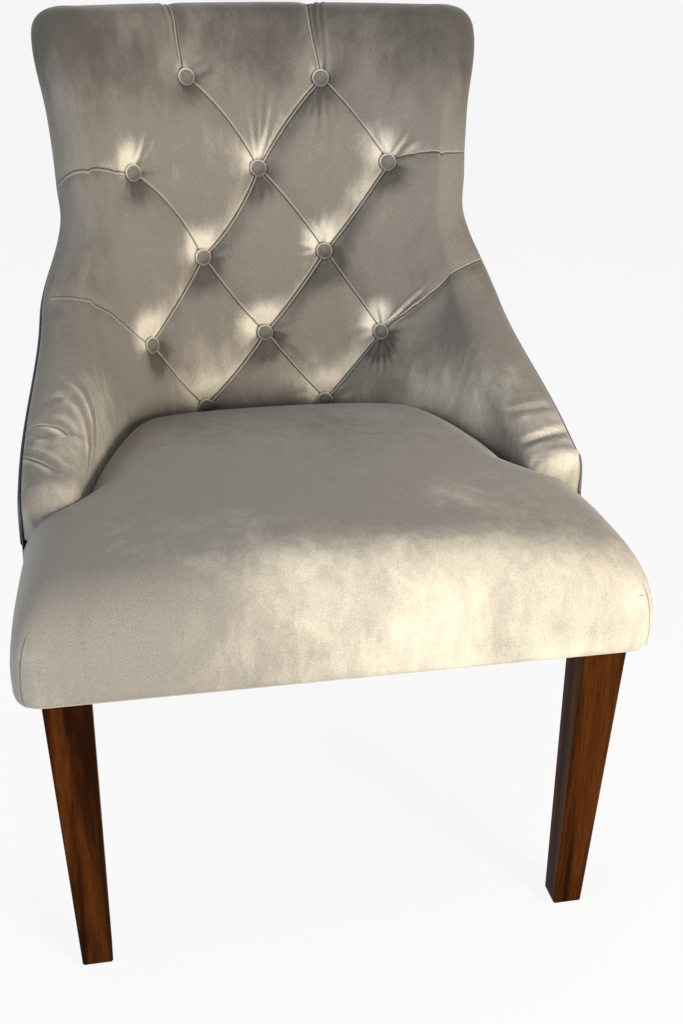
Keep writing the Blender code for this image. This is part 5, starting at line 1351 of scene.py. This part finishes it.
def camera():
    azimuth, elevation, roll = [math.radians(angle) for angle in CAMERA_ANGLES]
    back = Vector((math.sin(azimuth) * math.cos(elevation), -math.cos(azimuth) * math.cos(elevation),
                   math.sin(elevation)))
    right = Vector((0, 0, 1)).cross(back).normalized()
    up = back.cross(right)
    across = right * math.cos(roll) + up * math.sin(roll)
    upward = up * math.cos(roll) - right * math.sin(roll)
    data = bpy.data.cameras.new("camera")
    data.lens, data.sensor_width = CAMERA_LENS, CAMERA_SENSOR
    item = bpy.data.objects.new("camera", data)
    turn = Matrix((across, upward, back)).transposed().to_4x4()
    turn.translation = CAMERA_PLACE
    item.matrix_world = turn
    bpy.context.scene.collection.objects.link(item)
    bpy.context.scene.camera = item


# Colours of the velvets as (pile away, pile at rest, pile towards the light), whose dark and light ends also
# carry the painted light and shade. All four are one velvet: the seat's tones are a lighter, painted lit copy
# of the back's, the outside's a darker, cooler painted shaded copy and the buttons' a darker painted shaded
# copy.
BACK_TONES = ((0.085, 0.076, 0.066), (0.205, 0.183, 0.156), (0.70, 0.63, 0.52))
SEAT_LIT_TONES = ((0.120, 0.107, 0.092), (0.265, 0.238, 0.203), (0.70, 0.63, 0.51))
OUTER_SHADED_TONES = ((0.080, 0.085, 0.090), (0.160, 0.165, 0.170), (0.34, 0.34, 0.33))
BUTTON_SHADED_TONES = ((0.070, 0.063, 0.054), (0.170, 0.153, 0.130), (0.60, 0.55, 0.46))

# The chair

tufted_back(velvet("velvet_back", *BACK_TONES, 0.6, folds=True))
outer_panel(velvet("velvet_outer_shaded", *OUTER_SHADED_TONES))
crowned_seat(velvet("velvet_seat_lit", *SEAT_LIT_TONES, 0.75, seams=True))
buttons(velvet("velvet_button_shaded", *BUTTON_SHADED_TONES, 0.5))

repaint(lacquered_wood(), "front_leg", "rear_leg")
repaint(sawn_wood(), "arm_", "back_post", "back_slat", "crest", "lower_back", "front_rail", "side_rail",
        "rear_rail", "front_block", "rear_block")
burlap = woven("burlap_weave", (0.42, 0.33, 0.21), (0.52, 0.43, 0.29), 260.0)
cambric = woven("black_cambric_weave", (0.022, 0.022, 0.024), (0.035, 0.035, 0.036), 700.0)
stretched_cloth("back_burlap", "burlap_web", burlap, (0, 0.0002, 0))
stretched_cloth("seat_deck", "deck_cloth", burlap, (0, 0, 0.0006))
stretched_cloth("dust_cover", "dust_cloth", cambric, (0, 0, 0.0008))
repaint(metal("spring_wire", (0.40, 0.40, 0.41), 0.38, 90.0), "seat_spring")
repaint(metal("zinc_plate", (0.62, 0.62, 0.60), 0.32, 160.0), "leg_bolt", "leg_nut")
repaint(nylon(), "front_glide", "rear_glide")

stage()
lamp("key", (1.5, -2.6, 0.90), (0.05, -0.10, 0.48), 0.9, 98, (1.0, 0.93, 0.82))
lamp("fill", (-2.4, -1.4, 1.1), (0, 0, 0.5), 2.2, 42, (0.78, 0.88, 1.0))
lamp("top", (0.2, 0.6, 2.9), (0, 0, 0.5), 2.0, 10, (1.0, 1.0, 1.0))
camera()

bpy.context.scene.view_settings.view_transform = "Standard"
